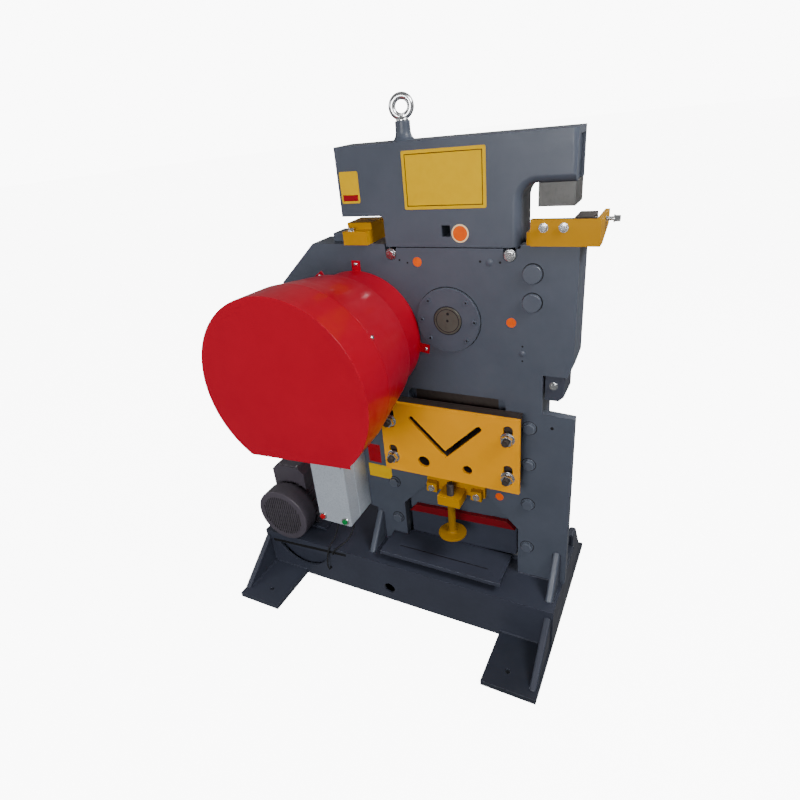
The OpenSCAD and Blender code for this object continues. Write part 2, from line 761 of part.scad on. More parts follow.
module tool_bolts() color(zinc) place() at_shaft() {
  for (x = hold_bolt_xs) {
    hexy(x, -hold_bolt_h, -hold_lug_t - tool_bolt_head, -hold_lug_t, tool_bolt_r);
    cy(x, -hold_bolt_h, -hold_lug_t, plate_t - seam_gap, tool_shank_r, small_fn);
  }
  translate([0, 0, shoulder_h]) for (x = [holder_bolt_x1, holder_bolt_x2]) {
    hexy(x, holder_bolt_h, -holder_front - tool_bolt_head, -holder_front, tool_bolt_r);
    cy(x, holder_bolt_h, -holder_front, -holder_front + holder_wall, tool_shank_r, small_fn);
  }
  translate([-nbolt_x, 0, shoulder_h + ntable_low]) {
    cz(0, 0, 0, tool_bolt_head, tool_bolt_r, 6);
    cz(0, 0, -tool_shank, 0, tool_shank_r, small_fn);
  }
  cy(sblock_bolt_x, -sblock_bolt_h, sblock_y0 - tool_bolt_head, sblock_y0, tool_bolt_r, 6);
  cy(sblock_bolt_x, -sblock_bolt_h, sblock_y0, sblock_y0 + tool_shank, tool_shank_r, small_fn);
}
module notch_table() color(yellow) place() at_shaft() translate([0, 0, shoulder_h]) difference() {
  union() {
    bx(ntable_x0, ntable_x1, -ntable_front, ntable_step, 0, ntable_low);
    bx(ntable_x0, ntable_x1, ntable_step, ntable_rear, 0, ntable_top);
  }
  cz(-nbolt_x, 0, ntable_low - tool_shank - bolt_gap, ntable_low + over, tool_shank_r + bolt_gap, small_fn);
}
module notch_stop() color(paint) place() at_shaft()
  bx(nstop_x0, nstop_x1, nstop_y0, nstop_y1, shoulder_h, shoulder_h + nstop_h);
module side_block() color(steel) place() at_shaft() difference() {
  slab(sblock_y0, sblock_y1) polygon([[sblock_x0, -notch_top], [sblock_x0, -notch_top - sblock_h],
    [sblock_x1 - sblock_cut, -notch_top - sblock_h], [sblock_x1, -notch_top - sblock_h + sblock_cut],
    [sblock_x1, -notch_top]]);
  cy(sblock_bolt_x, -sblock_bolt_h, sblock_y0 - over, sblock_y0 + tool_shank + bolt_gap,
    tool_shank_r + bolt_gap, small_fn);
}

// small sizes of the drive
shaft_nose = 12;
shaft_tail = 200;
gear_y = 140;
gear_hub_r = 75;
gear_web = 18;
gear_rim = 26;
tooth_clear_share = 0.25;
back_lash_share = 0.06;
tooth_root_share = 1.32;
tooth_tip_share = 0.58;
fly_y = 330;
fly_hub_r = 62;
fly_web = 40;
fly_rim = 45;
drive_nose = 350;
drive_tail = 275;
pulley_y = 206;
belt_n = 3;
belt_step = 18;
belt_w = 12;
belt_t = 10;
groove_gap = 0.6;
groove_deep = 14;
belt_seat = 2;
motor_shaft_r = 14;

drive_z_abs = shaft_z + drive_z;
motor_z = beam_h + motor_h;
pulley_w = belt_n * belt_step + belt_step - belt_w;

// one gear outline: straight sided teeth about the pitch circle
function gear_pts(n, turn) = [for (i = [0 : n - 1]) for (k = [0 : 3])
  let (pr = gear_m * n / 2, tip = pr + gear_m, root = pr - gear_m * (1 + tooth_clear_share),
    r = (k == 0 || k == 3) ? root : tip,
    half = (k == 0 || k == 3) ? 90 / n * (tooth_root_share - back_lash_share)
      : 90 / n * (tooth_tip_share - back_lash_share),
    a = 360 / n * i + turn + ((k < 2) ? -half : half))
  [r * cos(a), r * sin(a)]];
gear_turn = drive_dir;
pinion_turn = drive_dir + 180 + 180 / pinion_teeth;

module eccentric_shaft() color(steel) place() at_shaft() {
  cy(0, 0, -shaft_nose, plate_t + slide_gap, journal_r);
  cy(0, -ecc_e, plate_t + slide_gap, rear_y - slide_gap, ecc_r);
  cy(0, 0, rear_y - slide_gap, shaft_tail, journal_r);
}
module main_gear() color(steel) place() at_shaft() difference() {
  union() {
    slab(gear_y, gear_y + gear_w) difference() {
      polygon(gear_pts(gear_teeth, gear_turn));
      circle(r = gear_m * gear_teeth / 2 - gear_rim, $fn = round_fn);
    }
    cy(0, 0, gear_y, gear_y + gear_w, gear_hub_r);
    cy(0, 0, gear_y + gear_web, gear_y + 2 * gear_web, gear_m * gear_teeth / 2 - gear_rim);
  }
  cy(0, 0, gear_y - over, gear_y + gear_w + over, journal_r);
}
module drive_shaft() color(steel) place() at_shaft() translate([drive_x, 0, drive_z]) {
  cy(0, 0, -drive_nose, drive_tail, drive_r);
  slab(gear_y, gear_y + gear_w) difference() {
    polygon(gear_pts(pinion_teeth, pinion_turn));
    circle(r = drive_r, $fn = round_fn);
  }
}
module flywheel() color(dark) place() at_shaft() translate([drive_x, 0, drive_z]) difference() {
  union() {
    cy(0, 0, -fly_y, -fly_y + fly_w, fly_hub_r);
    cy(0, 0, -fly_y + fly_web, -fly_y + 2 * fly_web, fly_r - fly_rim);
    difference() {
      cy(0, 0, -fly_y, -fly_y + fly_w, fly_r);
      cy(0, 0, -fly_y - over, -fly_y + fly_w + over, fly_r - fly_rim);
    }
  }
  cy(0, 0, -fly_y - over, -fly_y + fly_w + over, drive_r);
}
module grooves(r) for (i = [0 : belt_n - 1]) difference() {
  cy(0, 0, pulley_y + belt_step - belt_w - groove_gap + i * belt_step,
    pulley_y + belt_step + groove_gap + i * belt_step, r + over);
  cy(0, 0, pulley_y - over, pulley_y + pulley_w + over, r - groove_deep);
}
module drive_pulley() color(dark) place() at_shaft() translate([drive_x, 0, drive_z]) difference() {
  cy(0, 0, pulley_y, pulley_y + pulley_w, pulley_r);
  grooves(pulley_r);
  cy(0, 0, pulley_y - over, pulley_y + pulley_w + over, drive_r);
}
module drive_bearings() color(paint) place() at_shaft() translate([drive_x, 0, drive_z]) {
  difference() {
    union() {
      cy(0, 0, -flange_t, 0, drive_flange_r);
      cy(0, 0, 0, plate_t, drive_bearing_r);
    }
    cy(0, 0, -flange_t - over, plate_t + over, drive_r + run_gap);
  }
  difference() {
    union() {
      cy(0, 0, rear_y, frame_t, drive_bearing_r);
      cy(0, 0, frame_t, frame_t + flange_t, drive_flange_r);
    }
    cy(0, 0, rear_y - over, frame_t + flange_t + over, drive_r + run_gap);
  }
}
module belt_loop(big, small) hull() {
  translate([drive_x, drive_z_abs]) circle(r = big, $fn = round_fn);
  translate([-motor_x, motor_z]) circle(r = small, $fn = round_fn);
}
module drive_belts() color(dark) place() for (i = [0 : belt_n - 1])
  slab(pulley_y + belt_step - belt_w + i * belt_step, pulley_y + belt_step + i * belt_step) difference() {
    belt_loop(pulley_r - groove_deep + belt_seat + belt_t, motor_pulley_r - groove_deep + belt_seat + belt_t);
    belt_loop(pulley_r - groove_deep + belt_seat, motor_pulley_r - groove_deep + belt_seat);
  }

// small sizes of the motor
mbase_t = 12;
mbase_x0 = 850;
mbase_x1 = 600;
mbase_y0 = -60;
mbase_y1 = 135;
mfoot_half = 80;
mfoot_t = 8;
rib_n = 20;
rib_h = 8;
rib_w = 5;
fan_len = 70;
fan_wall = 2.5;
fan_slot_w = 5;
fan_slot_step = 11;
fan_slot_half = 94;
fan_gap = 6;
fan_r = 94;
fan_w = 30;
tbox_x0 = 828;
tbox_x1 = 665;
tbox_y0 = -62;
tbox_y1 = 58;
tbox_top = 495;
tbox_cut = 26;
shield_len = 24;
rotor_r = 40;

motor_y0 = -motor_front;
motor_y1 = -motor_front + motor_len;
motor_bore = motor_shaft_r + run_gap;
fan_slots = floor(fan_slot_half / fan_slot_step);

module motor_base() color(base_paint) place()
  bx(-mbase_x0, -mbase_x1, mbase_y0, mbase_y1, beam_h, beam_h + mbase_t);
module motor_body() color(dark) place() difference() {
  union() {
    cy(-motor_x, motor_z, motor_y0 + fan_len, motor_y1, motor_r - rib_h);
    cy(-motor_x, motor_z, motor_y1 - shield_len, motor_y1, motor_r);
    cy(-motor_x, motor_z, motor_y0 + fan_len, motor_y0 + fan_len + shield_len, motor_r);
    cy(-motor_x, motor_z, motor_y0 + fan_len - rib_h, motor_y0 + fan_len + rib_h,
      fan_cover_r - fan_wall - bolt_gap);
    for (i = [0 : rib_n - 1]) translate([-motor_x, 0, motor_z]) rotate([0, 360 / rib_n * i, 0])
      bx(motor_r - 2 * rib_h, motor_r, motor_y0 + fan_len + shield_len, motor_y1 - shield_len,
        -rib_w / 2, rib_w / 2);
    bx(-motor_x - mfoot_half, -motor_x + mfoot_half, mbase_y0 + shield_len, mbase_y1 - shield_len,
      beam_h + mbase_t, beam_h + mbase_t + mfoot_t + rib_h);
    for (x = [-motor_x - mfoot_half, -motor_x + mfoot_half - shield_len])
      bx(x, x + shield_len, mbase_y0 + shield_len, mbase_y1 - shield_len, beam_h + mbase_t,
        motor_z - mfoot_half / 2);
  }
  cy(-motor_x, motor_z, motor_y0 + fan_len + shield_len, motor_y1 - shield_len, rotor_r + seam_gap);
  cy(-motor_x, motor_z, motor_y0 + fan_len - rib_h - over, motor_y1 + over, motor_bore);
}
module fan_cover() color(dark) place() difference() {
  cy(-motor_x, motor_z, motor_y0, motor_y0 + fan_len, fan_cover_r);
  cy(-motor_x, motor_z, motor_y0 + fan_wall, motor_y0 + fan_len + over, fan_cover_r - fan_wall);
  for (i = [-fan_slots : fan_slots]) {
    half = sqrt(pow(fan_slot_half, 2) - pow(i * fan_slot_step, 2));
    bx(-motor_x + i * fan_slot_step - fan_slot_w / 2, -motor_x + i * fan_slot_step + fan_slot_w / 2,
      motor_y0 - over, motor_y0 + fan_wall + over, motor_z - half, motor_z + half);
  }
}
module terminal_box() color(dark) place() difference() {
  slab(tbox_y0, tbox_y1) polygon([[-tbox_x0, motor_z], [-tbox_x0, tbox_top - tbox_cut],
    [-tbox_x0 + tbox_cut, tbox_top], [-tbox_x1 - tbox_cut, tbox_top], [-tbox_x1, tbox_top - tbox_cut],
    [-tbox_x1, motor_z]]);
  cy(-motor_x, motor_z, tbox_y0 - over, tbox_y1 + over, motor_r + bolt_gap);
}
module motor_rotor() color(steel) place() {
  cy(-motor_x, motor_z, motor_y0 + fan_gap, pulley_y + pulley_w + fan_gap, motor_shaft_r);
  cy(-motor_x, motor_z, motor_y0 + fan_len + shield_len + fan_gap, motor_y1 - shield_len - fan_gap, rotor_r);
  cy(-motor_x, motor_z, motor_y0 + fan_gap, motor_y0 + fan_gap + fan_w, fan_r);
}
module motor_pulley() color(dark) place() translate([-motor_x, 0, motor_z]) difference() {
  cy(0, 0, pulley_y, pulley_y + pulley_w, motor_pulley_r);
  grooves(motor_pulley_r);
  cy(0, 0, pulley_y - over, pulley_y + pulley_w + over, motor_shaft_r);
}

// small sizes of the guards
tab_w = 32;
tab_h = 34;
tab_t = 3;
tab_dirs = [352, 88, 125];
ear_half = 29;
ear_drop = 34;
ear_y = 440;
cover_gap = 12;
cover_depth = 290;
cover_t = 3;
ear_x0 = 96;
lid_overlap = 1.5;

module flat_cut(y0, y1) rotate([0, -guard_tilt, 0])
  bx(-2 * guard_r, 2 * guard_r, y0, y1, -2 * guard_r, -guard_flat);
module guard_pan() color(red) place() at_shaft() translate([drive_x, 0, drive_z]) {
  difference() {
    translate([0, -guard_depth, 0]) rotate([-90, 0, 0])
      cylinder(h = guard_depth - guard_seam, r1 = guard_r, r2 = guard_mid_r, $fn = round_fn);
    difference() {
      translate([0, -guard_depth + guard_t, 0]) rotate([-90, 0, 0])
        cylinder(h = guard_depth - guard_seam, r1 = guard_r - guard_t, r2 = guard_mid_r - guard_t,
          $fn = round_fn);
      translate([0, 0, guard_t]) flat_cut(-guard_depth, 0);
    }
    flat_cut(-guard_depth - over, 0);
  }
  rotate([0, -guard_tilt, 0])
    bx(ear_x0, ear_x0 + 2 * ear_half, -ear_y, -ear_y + tab_t, -guard_flat - ear_drop, -guard_flat);
}
module guard_cone(grow) translate([0, -guard_seam, 0]) rotate([-90, 0, 0])
  cylinder(h = guard_seam - guard_step, r1 = guard_mid_r + grow, r2 = guard_rim_r + grow, $fn = round_fn);
module guard_shell() color(red) place() at_shaft() translate([drive_x, 0, drive_z]) {
  difference() {
    guard_cone(0);
    translate([0, -guard_t, 0]) difference() {
      guard_cone(-guard_t);
      translate([0, 0, guard_t]) flat_cut(-guard_seam - over, 0);
    }
    flat_cut(-guard_seam - over, 0);
    cy(0, 0, -guard_step - 2 * guard_t, over, guard_ring_r - guard_t);
  }
  difference() {
    cy(0, 0, -guard_step - guard_t, 0, guard_ring_r);
    cy(0, 0, -guard_step - 2 * guard_t, -tab_t, guard_ring_r - guard_t);
    cy(0, 0, -tab_t - over, over, guard_ring_r - 2 * tab_w);
  }
  for (a = tab_dirs) rotate([0, -a, 0])
    bx(guard_ring_r - guard_t, guard_ring_r + tab_h, -tab_t, 0, -tab_w / 2, tab_w / 2);
}
module belt_run(grow) hull() {
  translate([drive_x, drive_z_abs]) circle(r = pulley_r + cover_gap + grow, $fn = round_fn);
  translate([-motor_x, motor_z]) circle(r = motor_pulley_r + cover_gap + grow, $fn = round_fn);
}
module cover_outline(grow) {
  belt_run(grow);
  hull() {
    translate([0, shaft_z])
      circle(r = gear_m * gear_teeth / 2 + gear_m + cover_gap + grow, $fn = round_fn);
    translate([drive_x, drive_z_abs]) circle(r = pulley_r + cover_gap + grow, $fn = round_fn);
  }
}
module rear_cover() color(red) place() difference() {
  union() {
    difference() {
      slab(frame_t, cover_depth) cover_outline(cover_t);
      slab(frame_t - over, cover_depth - cover_t) cover_outline(0);
    }
    slab(frame_t, frame_t + cover_t) belt_run(cover_t);
  }
  bx(-plate_left, plate_right, frame_t - over, frame_t + cover_gap, shaft_z + plate_top_h - cover_gap,
    shaft_z + head_top);
  cy(-motor_x, motor_z, frame_t - over, motor_y1 + cover_gap, motor_r + cover_gap);
  cy(drive_x, drive_z_abs, frame_t - over, frame_t + cover_gap, drive_flange_r + bolt_gap);
}

// small sizes of the switch box
box_lid = 73;
box_r = 10;
box_seam = 2;
button_out = 12;
button_bezel_r = 14;
button_bezel = 4;
stop_dx = 18;
start_dx = 122;
button_dz = 22;
gland_r = 7;
gland_h = 14;
lead_r = 3.2;

box_x0 = -box_right - box_w;
box_y0 = -box_d;

module rounded_box(x0, x1, y0, y1, z0, z1, r) slab(y0, y1) rrect(x0, x1, z0, z1, r);
module button_hole(dx) cy(box_x0 + dx, box_z + button_dz, box_y0 - button_bezel - over,
  box_y0 + button_out + button_travel + over, button_r + run_gap, small_fn);
module switch_box() color([0.63, 0.67, 0.70]) place() difference() {
  union() {
    rounded_box(box_x0, box_x0 + box_w, box_y0, box_y0 + box_lid - box_seam, box_z, box_z + box_h, box_r);
    rounded_box(box_x0 + box_seam, box_x0 + box_w - box_seam, box_y0 + box_lid - box_seam,
      box_y0 + box_lid, box_z + box_seam, box_z + box_h - box_seam, box_r);
    rounded_box(box_x0, box_x0 + box_w, box_y0 + box_lid, 0, box_z, box_z + box_h, box_r);
    for (dx = [stop_dx, start_dx])
      cy(box_x0 + dx, box_z + button_dz, box_y0 - button_bezel, box_y0, button_bezel_r, small_fn);
    for (g = lead_routes) cz(g[0][0], g[0][1], box_z - gland_h, box_z, gland_r, small_fn);
  }
  for (dx = [stop_dx, start_dx]) button_hole(dx);
  for (g = lead_routes)
    cz(g[0][0], g[0][1], box_z - gland_h - over, box_z - lid_overlap, lead_r + bolt_gap, small_fn);
}
module push_button(dx) cy(box_x0 + dx, box_z + button_dz, box_y0 - button_bezel - button_out + button_travel,
  box_y0 + button_out, button_r, small_fn);
module stop_button() color(red) place() push_button(stop_dx);
module start_button() color([0.10, 0.55, 0.30]) place() push_button(start_dx);

// routes of the two leads from the switch box into the beam, by hand
lead_routes = [
  [[-488, -110, 347], [-488, -110, 334], [-488, -110, 321], [-489, -114, 293], [-500, -133, 245],
    [-522, -160, 195], [-534, -172, 125], [-535, -166, 84], [-535, -156, 80], [-535, -144, 80]],
  [[-412, -110, 347], [-412, -110, 334], [-412, -110, 321], [-414, -115, 300], [-434, -139, 254],
    [-478, -166, 214], [-500, -170, 186], [-505, -160, 171], [-506, -144, 170]]];
lead_sides = 8;
lead_steps = 6;
function cat(p, i, t) = let (a = p[max(i - 1, 0)], b = p[i], c = p[i + 1], d = p[min(i + 2, len(p) - 1)])
  0.5 * ((2 * b) + (c - a) * t + (2 * a - 5 * b + 4 * c - d) * t * t + (3 * b - a - 3 * c + d) * t * t * t);
function curve(p) = concat([for (i = [0 : len(p) - 2]) for (k = [0 : lead_steps - 1])
  cat(p, i, k / lead_steps)], [p[len(p) - 1]]);
function unit(v) = v / norm(v);
function tangent(q, i) = unit(q[min(i + 1, len(q) - 1)] - q[max(i - 1, 0)]);
module tube(p, r) {
  q = curve(p);
  n = len(q);
  pts = [for (i = [0 : n - 1]) let (t = tangent(q, i), u = unit(cross(t, [1, 0, 0])), v = cross(t, u))
    for (k = [0 : lead_sides - 1]) let (a = 360 / lead_sides * k) q[i] + r * (u * cos(a) + v * sin(a))];
  quads = [for (i = [0 : n - 2]) for (k = [0 : lead_sides - 1]) let (k2 = (k + 1) % lead_sides)
    [i * lead_sides + k, i * lead_sides + k2, (i + 1) * lead_sides + k2, (i + 1) * lead_sides + k]];
  caps = [[for (k = [lead_sides - 1 : -1 : 0]) k],
    [for (k = [0 : lead_sides - 1]) (n - 1) * lead_sides + k]];
  polyhedron(points = pts, faces = concat(quads, caps));
}
module switch_leads() color(dark) place() for (g = lead_routes) tube(g, lead_r);

// small sizes of the base
hole_x = 256;
hole_z = 64;
hole_r = 24;
moon_x = 668;
moon_z = 194;
moon_r = 138;
moon_top = 139;
slit_x0 = 829;
slit_x1 = 449;
slit_z0 = 139;
slit_z1 = 168;
slit_h = 12;
liner_y = 22;
liner_t = 8;
liner_end = 545;
lead_hole_x = 535;
lead_hole_z = 80;
lead_hole_gap = 1.5;
foot_gusset_h = 168;
rear_wedge_top = 240;
rear_wedge_flat = 56;
rear_gusset_top = 140;
rear_gusset_gap = 2;
rear_gusset_back = beam_rear - frame_t - rear_gusset_gap;
gusset_run = 112;
gusset_h = 145;
right_gusset_x = 381;
lower_gusset_x = 389;
foot_back = front_y + foot_len / 2;
foot_front = front_y - foot_len / 2;
foot_bolt_x0 = -shaft_x - foot_bolt_x / 2;
foot_bolt_x1 = -shaft_x + foot_bolt_x / 2;

module moon() intersection() {
  translate([-moon_x, moon_z]) circle(r = moon_r, $fn = round_fn);
  translate([-moon_x - moon_r, 0]) square([2 * moon_r, moon_top]);
}
module slit() polygon([[-slit_x0, slit_z0], [-slit_x1, slit_z1], [-slit_x1, slit_z1 + slit_h],
  [-slit_x0, slit_z0 + slit_h]]);
module base_beam() color(base_paint) place() difference() {
  union() {
    bx(-base_left, base_right, -beam_front, beam_rear, foot_t, beam_h);
    bx(-base_left + foot_left_w, base_right - foot_right_w, -beam_front, beam_rear, 0, foot_t);
  }
  bx(-base_left + beam_wall, base_right - beam_wall, -beam_front + beam_wall, beam_rear - beam_wall,
    -over, beam_h - beam_wall);
  slab(-beam_front - over, -beam_front + beam_wall + over) {
    moon();
    slit();
    translate([-hole_x, hole_z]) circle(r = hole_r, $fn = small_fn);
    translate([-lead_hole_x, lead_hole_z]) circle(r = lead_r + lead_hole_gap, $fn = small_fn);
  }
}
module beam_liner() color(base_paint) place()
  bx(-base_left + beam_wall, -liner_end, -beam_front + liner_y, -beam_front + liner_y + liner_t,
    foot_t, beam_h - beam_wall);
module foot(x0, x1, hx) difference() {
  bx(x0, x1, foot_front, foot_back, 0, foot_t);
  for (s = [-1, 1]) cz(hx, front_y + s * foot_bolt_y / 2, -over, foot_t + over, foot_hole_r, small_fn);
}
module foot_right() color(base_paint) place() foot(base_right - foot_right_w, base_right, foot_bolt_x1);
module foot_left() color(base_paint) place() foot(-base_left, -base_left + foot_left_w, foot_bolt_x0);
module front_wedge(x0, x1) side(x0, x1)
  polygon([[foot_front + gusset_t, foot_t], [-beam_front, foot_t], [-beam_front, foot_gusset_h]]);
module rear_wedge(x0, x1) side(x0, x1)
  polygon([[foot_back - gusset_t, foot_t], [beam_rear, foot_t], [beam_rear, rear_wedge_top],
    [beam_rear + rear_wedge_flat, rear_wedge_top]]);
module foot_gussets() color(base_paint) place() {
  front_wedge(lower_gusset_x - gusset_t, lower_gusset_x);
  rear_wedge(lower_gusset_x - gusset_t, lower_gusset_x);
  front_wedge(-base_left, -base_left + gusset_t);
  rear_wedge(-base_left, -base_left + gusset_t);
}
module frame_gussets() color(paint) place() {
  for (x = [right_gusset_x - gusset_t, -plate_low_left]) side(x, x + gusset_t)
    polygon([[-gusset_run, beam_h], [0, beam_h], [0, beam_h + gusset_h]]);
  for (x = [notch_in - gusset_t, -plate_low_left]) side(x, x + gusset_t)
    polygon([[frame_t + rear_gusset_back, beam_h], [frame_t, beam_h],
      [frame_t, beam_h + rear_gusset_top], [frame_t + rear_gusset_back / 2, beam_h + rear_gusset_top]]);
}

base_beam();
beam_liner();
foot_right();
foot_left();
foot_gussets();
frame_gussets();
front_plate();
rear_plate();
core_left();
core_right();
frame_bolts();
pin_heads();
cover_bolts();
bearing_front();
bearing_rear();
flange_bolts();
ram();
punch_block();
eye_bolt();
section_blade();
blade_holder();
upper_blade();
label_plates();
shear_bed();
lower_blade();
shear_table();
table_bars();
hold_bracket();
hold_screw();
section_die();
guide_plate();
guide_studs();
die_holder();
die_block();
tool_bolts();
die_screw();
notch_table();
notch_stop();
side_block();
eccentric_shaft();
main_gear();
drive_shaft();
flywheel();
drive_pulley();
drive_bearings();
motor_base();
motor_body();
fan_cover();
terminal_box();
motor_rotor();
motor_pulley();
drive_belts();
guard_pan();
guard_shell();
rear_cover();
switch_box();
stop_button();
start_button();
switch_leads();
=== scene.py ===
"""Looks of the ironworker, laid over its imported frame.

Lengths inside the classes are millimetres, counted as in the part's source: x from the
eccentric shaft, y from the front face of the front plate (back is positive) and z from the
floor. A finished mesh is moved once into the row frame, in metres.
"""

import logging
import math
from dataclasses import dataclass, field
from enum import Enum
from typing import Callable, Iterable, Sequence

import bmesh
import bpy
from mathutils import Matrix, Vector


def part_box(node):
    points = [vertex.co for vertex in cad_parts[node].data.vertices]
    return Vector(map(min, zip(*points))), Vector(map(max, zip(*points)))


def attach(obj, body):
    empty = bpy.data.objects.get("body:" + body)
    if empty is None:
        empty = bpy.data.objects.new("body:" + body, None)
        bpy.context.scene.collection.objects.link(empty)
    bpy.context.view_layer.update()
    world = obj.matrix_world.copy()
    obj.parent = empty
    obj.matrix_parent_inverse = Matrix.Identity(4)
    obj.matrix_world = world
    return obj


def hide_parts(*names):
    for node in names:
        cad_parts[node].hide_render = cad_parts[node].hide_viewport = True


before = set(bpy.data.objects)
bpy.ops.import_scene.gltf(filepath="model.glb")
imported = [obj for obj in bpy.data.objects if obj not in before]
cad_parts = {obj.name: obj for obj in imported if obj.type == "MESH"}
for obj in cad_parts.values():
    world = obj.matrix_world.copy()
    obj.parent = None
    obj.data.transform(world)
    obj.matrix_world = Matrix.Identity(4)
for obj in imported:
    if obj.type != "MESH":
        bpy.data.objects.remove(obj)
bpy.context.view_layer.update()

LOG = logging.getLogger("ironworker")
MM = 0.001
SHAFT_Z = 1180.0
FRAME_T = 117.0
ROW_SHIFT = (235.0, -30.0, 0.0)
TO_ROW = Matrix.Diagonal((MM, MM, MM, 1.0)) @ Matrix.Translation(ROW_SHIFT)
FRONT = Vector((0.0, -1.0, 0.0))
BACK = Vector((0.0, 1.0, 0.0))
UP = Vector((0.0, 0.0, 1.0))
RIGHT = Vector((1.0, 0.0, 0.0))

# face mark of rounded edges painted lighter, part rubbed paint and part painted highlight, and the widest
# rounding so marked, in millimetres
WEAR_HIGHLIGHT_LAYER = "wear_and_highlight_edge"
WEAR_HIGHLIGHT_WIDEST = 2.2
# least length that counts, merging distance of a solid's corners in metres, and flat angle in degrees
TINY = 1e-6
WELD = 2e-5
FLAT = 0.4
# how far from a plane, in millimetres, an edge may lie and still be on it
ON_PLANE = 0.3

Colour = tuple[float, float, float, float]
Point = tuple[float, float, float]
Profile = Sequence[tuple[float, float]]


def srgb(red: int, green: int, blue: int) -> Colour:
    """Linear colour of a screen colour.

    Args:
        red: red, 0 to 255.
        green: green, 0 to 255.
        blue: blue, 0 to 255.

    Returns:
        The linear colour with full alpha.
    """
    parts = [c / 255 for c in (red, green, blue)]
    line = [c / 12.92 if c <= 0.04045 else ((c + 0.055) / 1.055) ** 2.4 for c in parts]
    return (line[0], line[1], line[2], 1.0)


class Body(Enum):
    """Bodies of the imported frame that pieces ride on."""

    FRAME = "frame"
    RAM = "ram"
    ECCENTRIC = "eccentric"
    GUIDE = "guide"
    HOLD = "hold_down"
    CLAMP = "die_clamp"
    STOP = "stop"
    START = "start"


class Slot(Enum):
    """Material slots of the record."""

    FRAME_PAINT = "frame_paint"
    BASE_PAINT = "base_paint"
    GUARD_PAINT = "guard_paint"
    TOOL_PAINT = "tool_paint"
    LABEL = "label"
    BLADE_STEEL = "blade_steel"
    SHAFT_STEEL = "shaft_steel"
    ZINC = "zinc"
    IRON = "iron"
    MOTOR_PAINT = "motor_paint"
    BOX_PAINT = "box_paint"
    RED_BUTTON = "red_button"
    GREEN_BUTTON = "green_button"
    BELT = "belt"


